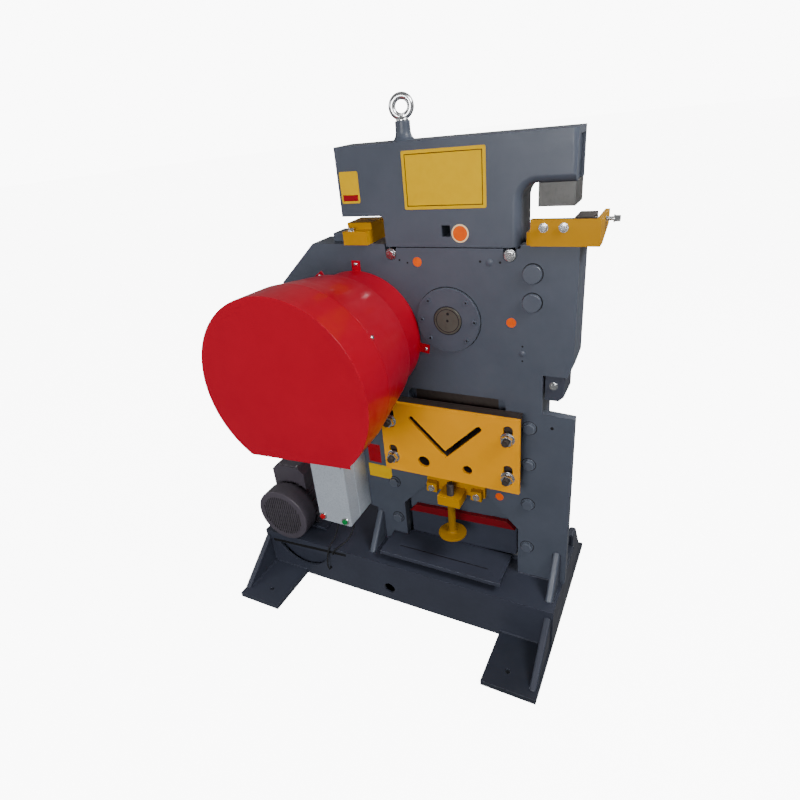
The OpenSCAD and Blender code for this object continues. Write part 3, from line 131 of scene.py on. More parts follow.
class NodeSheet:
    """Node tree of one material, with short calls for what the finishes share."""

    def __init__(self, name: str) -> None:
        """Starts an empty tree with one shader reading Object coordinates."""
        self.material = bpy.data.materials.new(name)
        self.material.use_nodes = True
        self.tree = self.material.node_tree
        self.tree.nodes.clear()
        self.shader = self.tree.nodes.new("ShaderNodeBsdfPrincipled")
        output = self.tree.nodes.new("ShaderNodeOutputMaterial")
        self.tree.links.new(self.shader.outputs["BSDF"], output.inputs["Surface"])
        self.place = self.tree.nodes.new("ShaderNodeTexCoord").outputs["Object"]

    def put(self, socket: bpy.types.NodeSocket, value: object) -> None:
        """Links a socket to another, or gives it a plain value."""
        if isinstance(value, bpy.types.NodeSocket):
            self.tree.links.new(value, socket)
        else:
            socket.default_value = value

    def noise(self, scale: float, detail: float = 3.0, rough: float = 0.55,
              stretch: Point = (1.0, 1.0, 1.0)) -> bpy.types.NodeSocket:
        """Fractal noise on the piece.

        Args:
            scale: waves per metre.
            detail: number of finer layers.
            rough: strength of the finer layers.
            stretch: scale along x, y and z.

        Returns:
            The noise value.
        """
        turn = self.tree.nodes.new("ShaderNodeMapping")
        turn.inputs["Scale"].default_value = stretch
        self.tree.links.new(self.place, turn.inputs["Vector"])
        made = self.tree.nodes.new("ShaderNodeTexNoise")
        made.inputs["Scale"].default_value = scale
        made.inputs["Detail"].default_value = detail
        made.inputs["Roughness"].default_value = rough
        self.tree.links.new(turn.outputs["Vector"], made.inputs["Vector"])
        return made.outputs["Fac"]

    def cells(self, scale: float) -> bpy.types.NodeSocket:
        """Distance to the nearest of scattered points, for hammered paint."""
        made = self.tree.nodes.new("ShaderNodeTexVoronoi")
        made.feature = "SMOOTH_F1"
        made.inputs["Scale"].default_value = scale
        self.tree.links.new(self.place, made.inputs["Vector"])
        return made.outputs["Distance"]

    def ramp(self, value: bpy.types.NodeSocket, low: float, high: float,
             start: float = 0.0, end: float = 1.0) -> bpy.types.NodeSocket:
        """Clamped straight ramp from one range of values to another.

        Args:
            value: what is read.
            low: value that gives start.
            high: value that gives end.
            start: result at low.
            end: result at high.

        Returns:
            The mapped value.
        """
        made = self.tree.nodes.new("ShaderNodeMapRange")
        made.inputs["From Min"].default_value = low
        made.inputs["From Max"].default_value = high
        made.inputs["To Min"].default_value = start
        made.inputs["To Max"].default_value = end
        self.tree.links.new(value, made.inputs["Value"])
        return made.outputs["Result"]

    def blend(self, share: object, first: object, second: object) -> bpy.types.NodeSocket:
        """Mix of two colours by a share."""
        made = self.tree.nodes.new("ShaderNodeMix")
        made.data_type = "RGBA"
        self.put(made.inputs[0], share)
        self.put(made.inputs[6], first)
        self.put(made.inputs[7], second)
        return made.outputs[2]

    def sum(self, kind: str, first: object, second: object) -> bpy.types.NodeSocket:
        """One step of arithmetic on two values."""
        made = self.tree.nodes.new("ShaderNodeMath")
        made.operation = kind
        self.put(made.inputs[0], first)
        self.put(made.inputs[1], second)
        return made.outputs[0]

    def facing_up(self) -> bpy.types.NodeSocket:
        """Share of the surface that faces upwards."""
        around = self.tree.nodes.new("ShaderNodeNewGeometry")
        split = self.tree.nodes.new("ShaderNodeSeparateXYZ")
        self.tree.links.new(around.outputs["Normal"], split.inputs["Vector"])
        return self.ramp(split.outputs["Z"], 0.55, 0.95)

    def wear_highlight_mark(self) -> bpy.types.NodeSocket:
        """Mark of the rounded edges, made with the mesh, where the paint is lighter: part rubbed paint,
        part painted highlight.
        """
        made = self.tree.nodes.new("ShaderNodeAttribute")
        made.attribute_name = WEAR_HIGHLIGHT_LAYER
        return made.outputs["Fac"]

    def bump(self, height: bpy.types.NodeSocket, depth: float, strength: float) -> None:
        """Fine relief on the shader's normal, depth in metres."""
        made = self.tree.nodes.new("ShaderNodeBump")
        made.inputs["Strength"].default_value = strength
        made.inputs["Distance"].default_value = depth
        self.tree.links.new(height, made.inputs["Height"])
        self.tree.links.new(made.outputs["Normal"], self.shader.inputs["Normal"])

    def close(self, colour: object, roughness: object, **fixed: object) -> bpy.types.Material:
        """Sets colour, roughness and the fixed sockets.

        Args:
            colour: colour or colour socket.
            roughness: value or socket.
            **fixed: other shader sockets by name, with _ for spaces.

        Returns:
            The finished material.
        """
        self.put(self.shader.inputs["Base Color"], colour)
        self.put(self.shader.inputs["Roughness"], roughness)
        for name, value in fixed.items():
            self.shader.inputs[name.replace("_", " ")].default_value = value
        return self.material


@dataclass(frozen=True)
class Enamel:
    """Sprayed machine paint with cloudy tone, faint dust, peel and lighter edges, part rubbed paint and
    part painted highlight.
    """

    name: str
    base: Colour
    cloud: Colour
    dust: Colour
    # colour of the marked edges, lighter: part rubbed paint, part painted highlight
    edge: Colour
    rough: tuple[float, float] = (0.34, 0.46)
    coat: float = 0.0
    coat_rough: float = 0.05
    dust_share: float = 0.35
    wear_highlight_share: float = 0.5
    peel: float = 0.00012
    peel_scale: float = 420.0
    shine: float = 0.35

    def make(self) -> bpy.types.Material:
        """The paint as a material."""
        sheet = NodeSheet(self.name)
        large = sheet.noise(scale=5.0, detail=4.0, rough=0.6)
        small = sheet.noise(scale=60.0)
        tone = sheet.blend(sheet.ramp(large, 0.32, 0.7), self.base, self.cloud)
        settled = sheet.sum("MULTIPLY", sheet.facing_up(), sheet.ramp(small, 0.35, 0.7, 0.3, 1.0))
        tone = sheet.blend(sheet.sum("MULTIPLY", settled, self.dust_share), tone, self.dust)
        # marked edges are painted lighter: part rubbed paint, part painted highlight
        edge_wear_glint = sheet.sum("MULTIPLY", sheet.wear_highlight_mark(), sheet.ramp(small, 0.42, 0.62))
        tone = sheet.blend(sheet.sum("MULTIPLY", edge_wear_glint, self.wear_highlight_share), tone, self.edge)
        rough = sheet.ramp(sheet.noise(scale=26.0, detail=5.0), 0.3, 0.7, *self.rough)
        sheet.bump(sheet.noise(self.peel_scale, detail=2.0), self.peel, strength=0.35)
        return sheet.close(tone, rough, Specular_IOR_Level=self.shine, Coat_Weight=self.coat,
                           Coat_Roughness=self.coat_rough)


@dataclass(frozen=True)
class Metal:
    """Bare or plated metal with fine drawn marks and stains."""

    name: str
    base: Colour
    stain: Colour
    rough: tuple[float, float] = (0.22, 0.4)
    grain: Point = (1.0, 1.0, 1.0)
    grain_scale: float = 300.0
    stain_span: tuple[float, float] = (0.5, 0.8)
    relief: float = 0.00008
    metallic: float = 1.0

    def make(self) -> bpy.types.Material:
        """The metal as a material."""
        sheet = NodeSheet(self.name)
        stained = sheet.ramp(sheet.noise(scale=34.0, detail=5.0, rough=0.65), *self.stain_span)
        tone = sheet.blend(stained, self.base, self.stain)
        lines = sheet.noise(self.grain_scale, detail=4.0, rough=0.6, stretch=self.grain)
        rough = sheet.ramp(lines, 0.3, 0.7, *self.rough)
        sheet.bump(lines, self.relief, strength=0.4)
        return sheet.close(tone, rough, Metallic=self.metallic)


@dataclass(frozen=True)
class Hammered:
    """Pebbled light paint of the switch box."""

    name: str
    base: Colour
    vale: Colour
    scale: float = 260.0
    relief: float = 0.0004
    metallic: float = 0.15

    def make(self) -> bpy.types.Material:
        """The pebbled paint as a material."""
        sheet = NodeSheet(self.name)
        cells = sheet.cells(self.scale)
        tone = sheet.blend(sheet.ramp(cells, 0.2, 0.8), self.base, self.vale)
        clouds = sheet.noise(scale=9.0, detail=4.0)
        tone = sheet.blend(sheet.ramp(clouds, 0.4, 0.9, end=0.35), tone, self.vale)
        sheet.bump(cells, self.relief, strength=0.5)
        rough = sheet.ramp(sheet.noise(scale=70.0), 0.3, 0.7, start=0.3, end=0.45)
        return sheet.close(tone, rough, Metallic=self.metallic)


@dataclass(frozen=True)
class Plastic:
    """Moulded plastic or rubber with a fine skin."""

    name: str
    base: Colour
    dull: Colour
    rough: tuple[float, float] = (0.25, 0.4)
    skin: float = 900.0
    relief: float = 0.00006
    shine: float = 0.2

    def make(self) -> bpy.types.Material:
        """The plastic as a material."""
        sheet = NodeSheet(self.name)
        clouds = sheet.noise(scale=45.0, detail=4.0)
        tone = sheet.blend(sheet.ramp(clouds, 0.35, 0.8), self.base, self.dull)
        rough = sheet.ramp(sheet.noise(scale=120.0), 0.3, 0.7, *self.rough)
        sheet.bump(sheet.noise(self.skin, detail=2.0), self.relief, strength=0.4)
        return sheet.close(tone, rough, Specular_IOR_Level=self.shine)


@dataclass(frozen=True)
class Paper:
    """Seamless studio paper that keeps its pale tone."""

    name: str
    base: Colour
    soft: Colour
    glow: float
    rough: float = 0.9

    def make(self) -> bpy.types.Material:
        """The paper as a material."""
        sheet = NodeSheet(self.name)
        clouds = sheet.noise(scale=2.0, detail=2.0)
        tone = sheet.blend(sheet.ramp(clouds, 0.3, 0.7), self.base, self.soft)
        return sheet.close(tone, self.rough, Specular_IOR_Level=0.0, Emission_Color=self.base,
                           Emission_Strength=self.glow)


class Finish(Enum):
    """Every finish on the machine, by what wears it."""

    FRAME = Enamel("slate_enamel", srgb(73, 79, 91), srgb(66, 72, 84), srgb(84, 88, 97),
                   srgb(98, 104, 114), dust_share=0.2)
    BASE = Enamel("base_enamel", srgb(52, 56, 69), srgb(46, 50, 62), srgb(60, 63, 72),
                  srgb(86, 92, 102), rough=(0.4, 0.55), dust_share=0.12)
    # darker copy of the base enamel for the right foot: painted shade
    FOOT = Enamel("shaded_base_enamel", srgb(40, 44, 55), srgb(34, 38, 48), srgb(46, 49, 58),
                  srgb(74, 79, 88), rough=(0.4, 0.55), dust_share=0.08)
    # lighter, shinier copy of the frame enamel for the painted bolt heads and pins: painted highlight
    BOLT = Enamel("highlit_bolt_enamel", srgb(75, 81, 93), srgb(68, 74, 86), srgb(86, 90, 98),
                  srgb(106, 112, 120), rough=(0.28, 0.38), dust_share=0.2, shine=0.6)
    GUARD = Enamel("red_gloss", srgb(172, 1, 34), srgb(164, 1, 31), srgb(174, 12, 40),
                   srgb(182, 26, 48), rough=(0.36, 0.44), coat=0.3, dust_share=0.06, wear_highlight_share=0.2,
                   peel=0.00005, peel_scale=160.0, shine=0.1)
    STRIP = Enamel("strip_red", srgb(112, 8, 20), srgb(96, 8, 17), srgb(108, 26, 30),
                   srgb(96, 52, 50), shine=0.15)
    TOOL = Enamel("tool_yellow", srgb(228, 154, 1), srgb(220, 146, 1), srgb(214, 154, 12),
                  srgb(186, 138, 36), rough=(0.34, 0.46), dust_share=0.12, wear_highlight_share=0.3, shine=0.12)
    # darker copy of the tool yellow for the die holder, notch table and hold-down bracket: painted shade
    HOLDER = Enamel("shaded_tool_yellow", srgb(180, 128, 1), srgb(172, 120, 1), srgb(170, 126, 14),
                    srgb(150, 116, 34), rough=(0.34, 0.46), dust_share=0.12, wear_highlight_share=0.3, shine=0.1)
    # duller, darker copy of the tool yellow for the pressing rod: painted shade
    PRESS = Enamel("shaded_press_yellow", srgb(146, 104, 10), srgb(122, 88, 12), srgb(134, 100, 28),
                   srgb(110, 88, 40), rough=(0.4, 0.55), dust_share=0.2, shine=0.12)
    PUNCH = Metal("punch_steel", srgb(86, 86, 85), srgb(72, 72, 70), rough=(0.42, 0.58),
                  grain=(1.0, 1.0, 0.06), metallic=0.6)
    BLADE = Metal("blade_steel", srgb(104, 100, 98), srgb(80, 74, 70), rough=(0.4, 0.6),
                  grain=(0.08, 1.0, 1.0), metallic=0.7)
    SHAFT = Metal("oiled_shaft", srgb(88, 89, 82), srgb(72, 73, 66), rough=(0.35, 0.5),
                  metallic=0.6)
    ZINC = Metal("bright_zinc", srgb(214, 216, 218), srgb(168, 170, 172), rough=(0.14, 0.3))
    IRON = Metal("dark_iron", srgb(58, 50, 46), srgb(42, 37, 35), rough=(0.45, 0.62), metallic=0.3)
    # black for fills, rings and spots of painted shade, and for the holder's black strip
    BLACK = Plastic("black_and_painted_shade", srgb(16, 16, 18), srgb(24, 24, 26), rough=(0.6, 0.8))
    MOTOR = Enamel("motor_grey", srgb(76, 71, 80), srgb(66, 62, 70), srgb(84, 80, 84),
                   srgb(96, 92, 96), rough=(0.36, 0.5))
    BOX = Hammered("hammer_grey", srgb(178, 186, 196), srgb(156, 164, 174))
    RED_CAP = Plastic("red_cap", srgb(176, 8, 24), srgb(150, 8, 20))
    GREEN_CAP = Plastic("green_cap", srgb(14, 124, 60), srgb(10, 104, 50))
    RUBBER = Plastic("black_rubber", srgb(30, 30, 33), srgb(40, 40, 43), rough=(0.5, 0.7))
    LABEL = Plastic("plate_yellow", srgb(216, 172, 1), srgb(210, 164, 1), rough=(0.3, 0.4), shine=0.04)
    LINE = Plastic("plate_line", srgb(82, 52, 12), srgb(70, 44, 12))
    ORANGE = Plastic("disc_orange", srgb(226, 92, 8), srgb(216, 80, 8), shine=0.1)
    CREAM = Plastic("disc_cream", srgb(240, 208, 160), srgb(232, 196, 146))
    SIGN_RED = Plastic("plate_red", srgb(150, 10, 26), srgb(132, 10, 22))
    FLOOR = Paper("studio_paper", srgb(252, 252, 252), srgb(248, 248, 249), 9.0)
    WALL = Paper("studio_wall", srgb(252, 252, 252), srgb(250, 250, 251), 9.6)
    # black sheet of painted shade on the floor under the beam and feet
    SHADE = Plastic("floor_shade", srgb(14, 14, 15), srgb(20, 20, 21), rough=(0.8, 0.9), shine=0.0)

    def material(self) -> bpy.types.Material:
        """The finish's material, made on its first use."""
        return bpy.data.materials.get(self.value.name) or self.value.make()


class Shape:
    """One piece's mesh in the making, in millimetres from shaft, front face and floor."""

    def __init__(self) -> None:
        """Starts empty."""
        self.bm = sheet_of_edges()

    def take(self, part: bmesh.types.BMesh, matrix: Matrix | None = None) -> "Shape":
        """Adds a finished part and frees it.

        Args:
            part: the part, with outward normals.
            matrix: move that puts it in place, if any.

        Returns:
            This shape.
        """
        if matrix is not None:
            part.transform(matrix)
        sheet = bpy.data.meshes.new("part")
        part.to_mesh(sheet)
        part.free()
        self.bm.from_mesh(sheet)
        bpy.data.meshes.remove(sheet)
        return self

    def block(self, low: Point, high: Point, edge: float = 1.0, segments: int = 2,
              turn: Matrix | None = None) -> "Shape":
        """A block with rounded edges.

        Args:
            low: lowest corner.
            high: highest corner.
            edge: rounding radius.
            segments: facets of the rounding.
            turn: turn about the block's middle.

        Returns:
            This shape.
        """
        part = sheet_of_edges()
        span = Vector(high) - Vector(low)
        middle = (Vector(high) + Vector(low)) / 2
        bmesh.ops.create_cube(part, size=1.0, matrix=Matrix.Diagonal((*span, 1.0)))
        round_edges(part, part.edges, edge, segments)
        return self.take(part, Matrix.Translation(middle) @ (turn or Matrix.Identity(4)))

    def rod(self, start: Vector, end: Vector, radius: float, tip: float | None = None,
            sides: int = 32, edge: float = 0.0) -> "Shape":
        """A round or many-sided bar between two points.

        Args:
            start: middle of the first face.
            end: middle of the last face.
            radius: radius at the start.
            tip: radius at the end, if it differs.
            sides: number of sides.
            edge: rounding of both rims.

        Returns:
            This shape.
        """
        part = sheet_of_edges()
        axis = end - start
        bmesh.ops.create_cone(part, cap_ends=True, segments=sides, radius1=radius,
                              radius2=radius if tip is None else tip, depth=axis.length)
        if edge > 0:
            rims = [e for e in part.edges if abs(e.verts[0].co.z - e.verts[1].co.z) < TINY]
            round_edges(part, rims, edge, 2)
        return self.take(part, stand((start + end) / 2, axis))

    def lathe(self, start: Vector, axis: Vector, profile: Profile, sides: int = 48) -> "Shape":
        """A turned solid.

        Args:
            start: point on the axis where heights count from.
            axis: direction of rising height.
            profile: radius and height of each point, first and last on the axis.
            sides: number of sides.

        Returns:
            This shape.
        """
        part = sheet_of_edges()
        points = [part.verts.new((r, 0.0, h)) for r, h in profile]
        lines = [part.edges.new(pair) for pair in zip(points, points[1:])]
        bmesh.ops.spin(part, geom=points + lines, cent=(0, 0, 0), axis=(0, 0, 1), dvec=(0, 0, 0),
                       angle=math.tau, steps=sides, use_merge=True, use_duplicate=False)
        bmesh.ops.remove_doubles(part, verts=part.verts, dist=1e-4)
        bmesh.ops.recalc_face_normals(part, faces=part.faces)
        return self.take(part, stand(start, axis))

    def collar(self, start: Vector, axis: Vector, profile: Profile, sides: int = 48) -> "Shape":
        """A turned ring, whose profile is a closed loop off the axis.

        Args:
            start: point on the axis where heights count from.
            axis: direction of rising height.
            profile: radius and height of each point of the loop.
            sides: number of sides.

        Returns:
            This shape.
        """
        return self.lathe(start, axis, [*profile, profile[0]], sides)

    def torus(self, middle: Vector, axis: Vector, radius: float, rod: float,
              sides: int = 48, rod_sides: int = 20) -> "Shape":
        """A ring of round bar.

        Args:
            middle: middle of the ring.
            axis: the ring's axis.
            radius: radius of the bar's centre line.
            rod: radius of the bar.
            sides: number of sides round the ring.
            rod_sides: number of sides round the bar.

        Returns:
            This shape.
        """
        loop = [(radius + rod * math.cos(a), rod * math.sin(a))
                for a in (math.tau * i / rod_sides for i in range(rod_sides))]
        return self.collar(middle, axis, loop, sides)

    def thread(self, start: Vector, axis: Vector, length: float, radius: float,
               pitch: float = 2.5) -> "Shape":
        """A threaded bar with a chamfered end, as close grooves.

        Args:
            start: where the thread starts.
            axis: direction towards the free end.
            length: its length.
            radius: outer radius.
            pitch: groove spacing.

        Returns:
            This shape.
        """
        root = radius - 0.6 * pitch
        turns = max(1, int((length - pitch) / pitch))
        profile = [(0.0, 0.0), (root, 0.0)]
        for i in range(turns):
            profile += [(radius, (i + 0.5) * pitch), (root, (i + 1.0) * pitch)]
        profile += [(root, length), (0.0, length)]
        return self.lathe(start, axis, profile, 28)

    def hexagon(self, start: Vector, axis: Vector, radius: float, height: float,
                turn: float = 0.0) -> "Shape":
        """A hexagon head or nut with its corners turned off.

        Args:
            start: middle of the seat.
            axis: direction away from the seat.
            radius: radius over the corners.
            height: head height.
            turn: turn about the axis in degrees.

        Returns:
            This shape.
        """
        part = sheet_of_edges()
        bmesh.ops.create_cone(part, cap_ends=True, segments=6, radius1=radius, radius2=radius,
                              depth=height)
        top = [e for e in part.edges if min(v.co.z for v in e.verts) > 0]
        round_edges(part, top, 0.14 * radius, 2)
        spin = Matrix.Rotation(math.radians(turn), 4, "Z")
        part.transform(spin)
        return self.take(part, stand(start + axis * (height / 2), axis))

    def bead(self, start: Vector, end: Vector, radius: float) -> "Shape":
        """A weld bead with its ripples, half sunk in the corner that it fills.

        Args:
            start: first end.
            end: last end.
            radius: bead radius.

        Returns:
            This shape.
        """
        part = sheet_of_edges()
        axis = end - start
        bmesh.ops.create_cone(part, cap_ends=True, segments=8, radius1=radius, radius2=radius,
                              depth=axis.length)
        sides = [e for e in part.edges if abs(e.verts[0].co.z - e.verts[1].co.z) > TINY]
        cuts = max(3, int(axis.length / (1.4 * radius)))
        bmesh.ops.subdivide_edges(part, edges=sides, cuts=cuts, use_grid_fill=True)
        for vert in part.verts:
            ripple = 1.0 + 0.12 * math.sin(vert.co.z * 2.3) + 0.05 * math.sin(vert.co.z * 0.71)
            end_fade = min(1.0, (axis.length / 2 - abs(vert.co.z)) / (2 * radius) + 0.35)
            vert.co.x *= ripple * end_fade
            vert.co.y *= ripple * end_fade
        return self.take(part, stand((start + end) / 2, axis))

    def plate(self, middle: Vector, axis: Vector, width: float, height: float, thick: float,
              corner: float, edge: float = 0.2) -> "Shape":
        """A thin plate with round corners, lying off a wall.

        Args:
            middle: middle of its back.
            axis: direction away from the wall, along an axis of the frame.
            width: size across.
            height: size up.
            thick: thickness.
            corner: corner radius.
            edge: rounding of the front rim.

        Returns:
            This shape.
        """
        part = sheet_of_edges()
        bmesh.ops.create_cube(part, size=1.0, matrix=Matrix.Diagonal((width, height, thick, 1.0)))
        posts = [e for e in part.edges if abs(e.verts[0].co.z - e.verts[1].co.z) > TINY]
        round_edges(part, posts, corner, 5)
        rim = [e for e in part.edges if min(v.co.z for v in e.verts) > 0]
        rim = [e for e in rim if len({f.normal.z > 0.9 for f in e.link_faces}) == 2]
        round_edges(part, rim, edge, 1)
        return self.take(part, stand(middle + axis * (thick / 2), axis))


def sheet_of_edges() -> bmesh.types.BMesh:
    """An empty mesh with the layer that marks edges painted lighter, as rubbed paint and painted
    highlight.
    """
    bm = bmesh.new()
    bm.faces.layers.float.new(WEAR_HIGHLIGHT_LAYER)
    return bm


def stand(place: Vector, axis: Vector) -> Matrix:
    """Move that takes upright z to an axis through a place.

    Args:
        place: where the origin goes.
        axis: where z points, with the frame's up kept up on walls.

    Returns:
        The matrix.
    """
    ahead = axis.normalized()
    side = UP.cross(ahead) if abs(ahead.z) < 0.99 else RIGHT.copy()
    side.normalize()
    over = ahead.cross(side)
    turn = Matrix((side, over, ahead)).transposed().to_4x4()
    return Matrix.Translation(place) @ turn


def round_edges(bm: bmesh.types.BMesh, edges: Iterable[bmesh.types.BMEdge], width: float,
                segments: int, wear_highlit: bool = True, clamp: bool = True) -> None:
    """Rounds edges and marks the new faces for lighter paint, part rubbed paint and part painted
    highlight.

    Args:
        bm: the mesh.
        edges: the edges.
        width: rounding width.
        segments: facets of the rounding.
        wear_highlit: whether the paint there is lighter, as rubbed paint and painted highlight.
        clamp: whether the width gives way to short neighbours.
    """
    chosen = list(edges)
    if width <= 0 or not chosen:
        return
    layer = bm.faces.layers.float[WEAR_HIGHLIGHT_LAYER]
    made = bmesh.ops.bevel(bm, geom=chosen, offset=width, offset_type="OFFSET", segments=segments,
                           profile=0.5, affect="EDGES", material=-1, clamp_overlap=clamp)
    for face in made["faces"]:
        face[layer] = 1.0 if wear_highlit else 0.0


def sharp_edges(bm: bmesh.types.BMesh, least: float) -> list[bmesh.types.BMEdge]:
    """Edges whose two faces meet at more than an angle.

    Args:
        bm: the mesh.
        least: least angle in degrees.

    Returns:
        The edges.
    """
    limit = math.radians(least)
    return [e for e in bm.edges if len(e.link_faces) == 2 and e.calc_face_angle(0.0) > limit]


@dataclass(frozen=True)
class Round:
    """A rounding of chosen edges of a copied solid, in millimetres."""

    width: float
    segments: int = 2
    pick: Callable[[Vector, Vector], bool] | None = None
    least: float = 40.0
    clamp: bool = True

    @property
    def wear_highlit(self) -> bool:
        """Whether the rounding is small enough to be painted lighter, as rubbed paint and painted
        highlight.
        """
        return self.width <= WEAR_HIGHLIGHT_WIDEST


def settle(name: str, bm: bmesh.types.BMesh, finish: Finish, body: Body,
           stands_for: Sequence[str] = (), crease: float = 38.0) -> bpy.types.Object:
    """Makes a finished piece from a mesh in row metres.

    Args:
        name: name of the piece.
        bm: its mesh, freed here.
        finish: its finish.
        body: body that it rides on.
        stands_for: solids that it replaces.
        crease: angle in degrees past which an edge stays sharp.

    Returns:
        The piece.
    """
    mesh = bpy.data.meshes.new(name)
    bm.to_mesh(mesh)
    bm.free()
    mesh.polygons.foreach_set("use_smooth", [True] * len(mesh.polygons))
    mesh.set_sharp_from_angle(angle=math.radians(crease))
    piece = bpy.data.objects.new(name, mesh)
    bpy.context.scene.collection.objects.link(piece)
    even = piece.modifiers.new("even_light", "WEIGHTED_NORMAL")
    even.keep_sharp = True
    even.weight = 80
    mesh.materials.append(finish.material())
    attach(piece, body.value)
    if stands_for:
        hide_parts(*stands_for)
    return piece


def add(name: str, shape: Shape, finish: Finish, body: Body,
        stands_for: Sequence[str] = ()) -> bpy.types.Object:
    """Moves a shape into the row frame and makes it a piece.

    Args:
        name: name of the piece.
        shape: its shape in millimetres.
        finish: its finish.
        body: body that it rides on.
        stands_for: solids that it replaces.

    Returns:
        The piece.
    """
    shape.bm.transform(TO_ROW)
    return settle(name, shape.bm, finish, body, stands_for)


def dress(node: str, finish: Finish, body: Body, slot: Slot, *rounds: Round) -> bpy.types.Object:
    """Copies a solid, merges it, rounds its edges and lets the copy stand for it.

    Args:
        node: the solid's name.
        finish: its finish.
        body: body that it rides on.
        slot: material slot of the record, not used.
        *rounds: roundings in order.

    Returns:
        The piece.
    """
    bm = sheet_of_edges()
    bm.from_mesh(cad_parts[node].data)
    bmesh.ops.remove_doubles(bm, verts=bm.verts, dist=WELD)
    bmesh.ops.dissolve_degenerate(bm, edges=bm.edges, dist=TINY)
    bmesh.ops.dissolve_limit(bm, angle_limit=math.radians(FLAT), verts=bm.verts, edges=bm.edges,
                             use_dissolve_boundaries=False, delimit={"NORMAL"})
    back = TO_ROW.inverted()
    for step in rounds:
        edges = sharp_edges(bm, step.least)
        if step.pick is not None:
            edges = [e for e in edges if step.pick(back @ e.verts[0].co, back @ e.verts[1].co)]
        round_edges(bm, edges, step.width * MM, step.segments, step.wear_highlit, step.clamp)
    return settle(node + "_skin", bm, finish, body, (node,))


def repaint(node: str, finish: Finish) -> bpy.types.Object:
    """Gives a solid that stays its finish.

    Args:
        node: the solid's name.
        finish: its finish.

    Returns:
        The solid.
    """
    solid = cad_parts[node]
    solid.data.materials.clear()
    solid.data.materials.append(finish.material())
    return solid


def at(x: float, y: float, z: float) -> Vector:
    """Point with its height counted from the shaft."""
    return Vector((x, y, z + SHAFT_Z))


def round_at(x: float, y: float, z: float, reach: float, angle: float) -> Vector:
    """Point at a reach and an angle in degrees round a place, with heights from the shaft."""
    turn = math.radians(angle)
    return at(x + reach * math.cos(turn), y, z + reach * math.sin(turn))


def disc(radius: float, low: float, high: float) -> list[tuple[float, float]]:
    """Profile of a plain disc between two heights."""
    return [(0.0, low), (radius, low), (radius, high), (0.0, high)]


def ring(inner: float, outer: float, low: float, high: float) -> list[tuple[float, float]]:
    """Profile of a flat ring between two heights."""
    return [(inner, low), (outer, low), (outer, high), (inner, high)]


def coin(radius: float) -> list[tuple[float, float]]:
    """Profile of a thin disc, stuck on, with a soft rim."""
    return [(0.0, -0.4), (radius, -0.4), (radius, 0.4), (radius - 0.5, 0.7), (0.0, 0.7)]


class Unit:
    """A sub-assembly that builds its own pieces."""

    def build(self) -> list[bpy.types.Object]:
        """The sub-assembly's pieces."""
        raise NotImplementedError


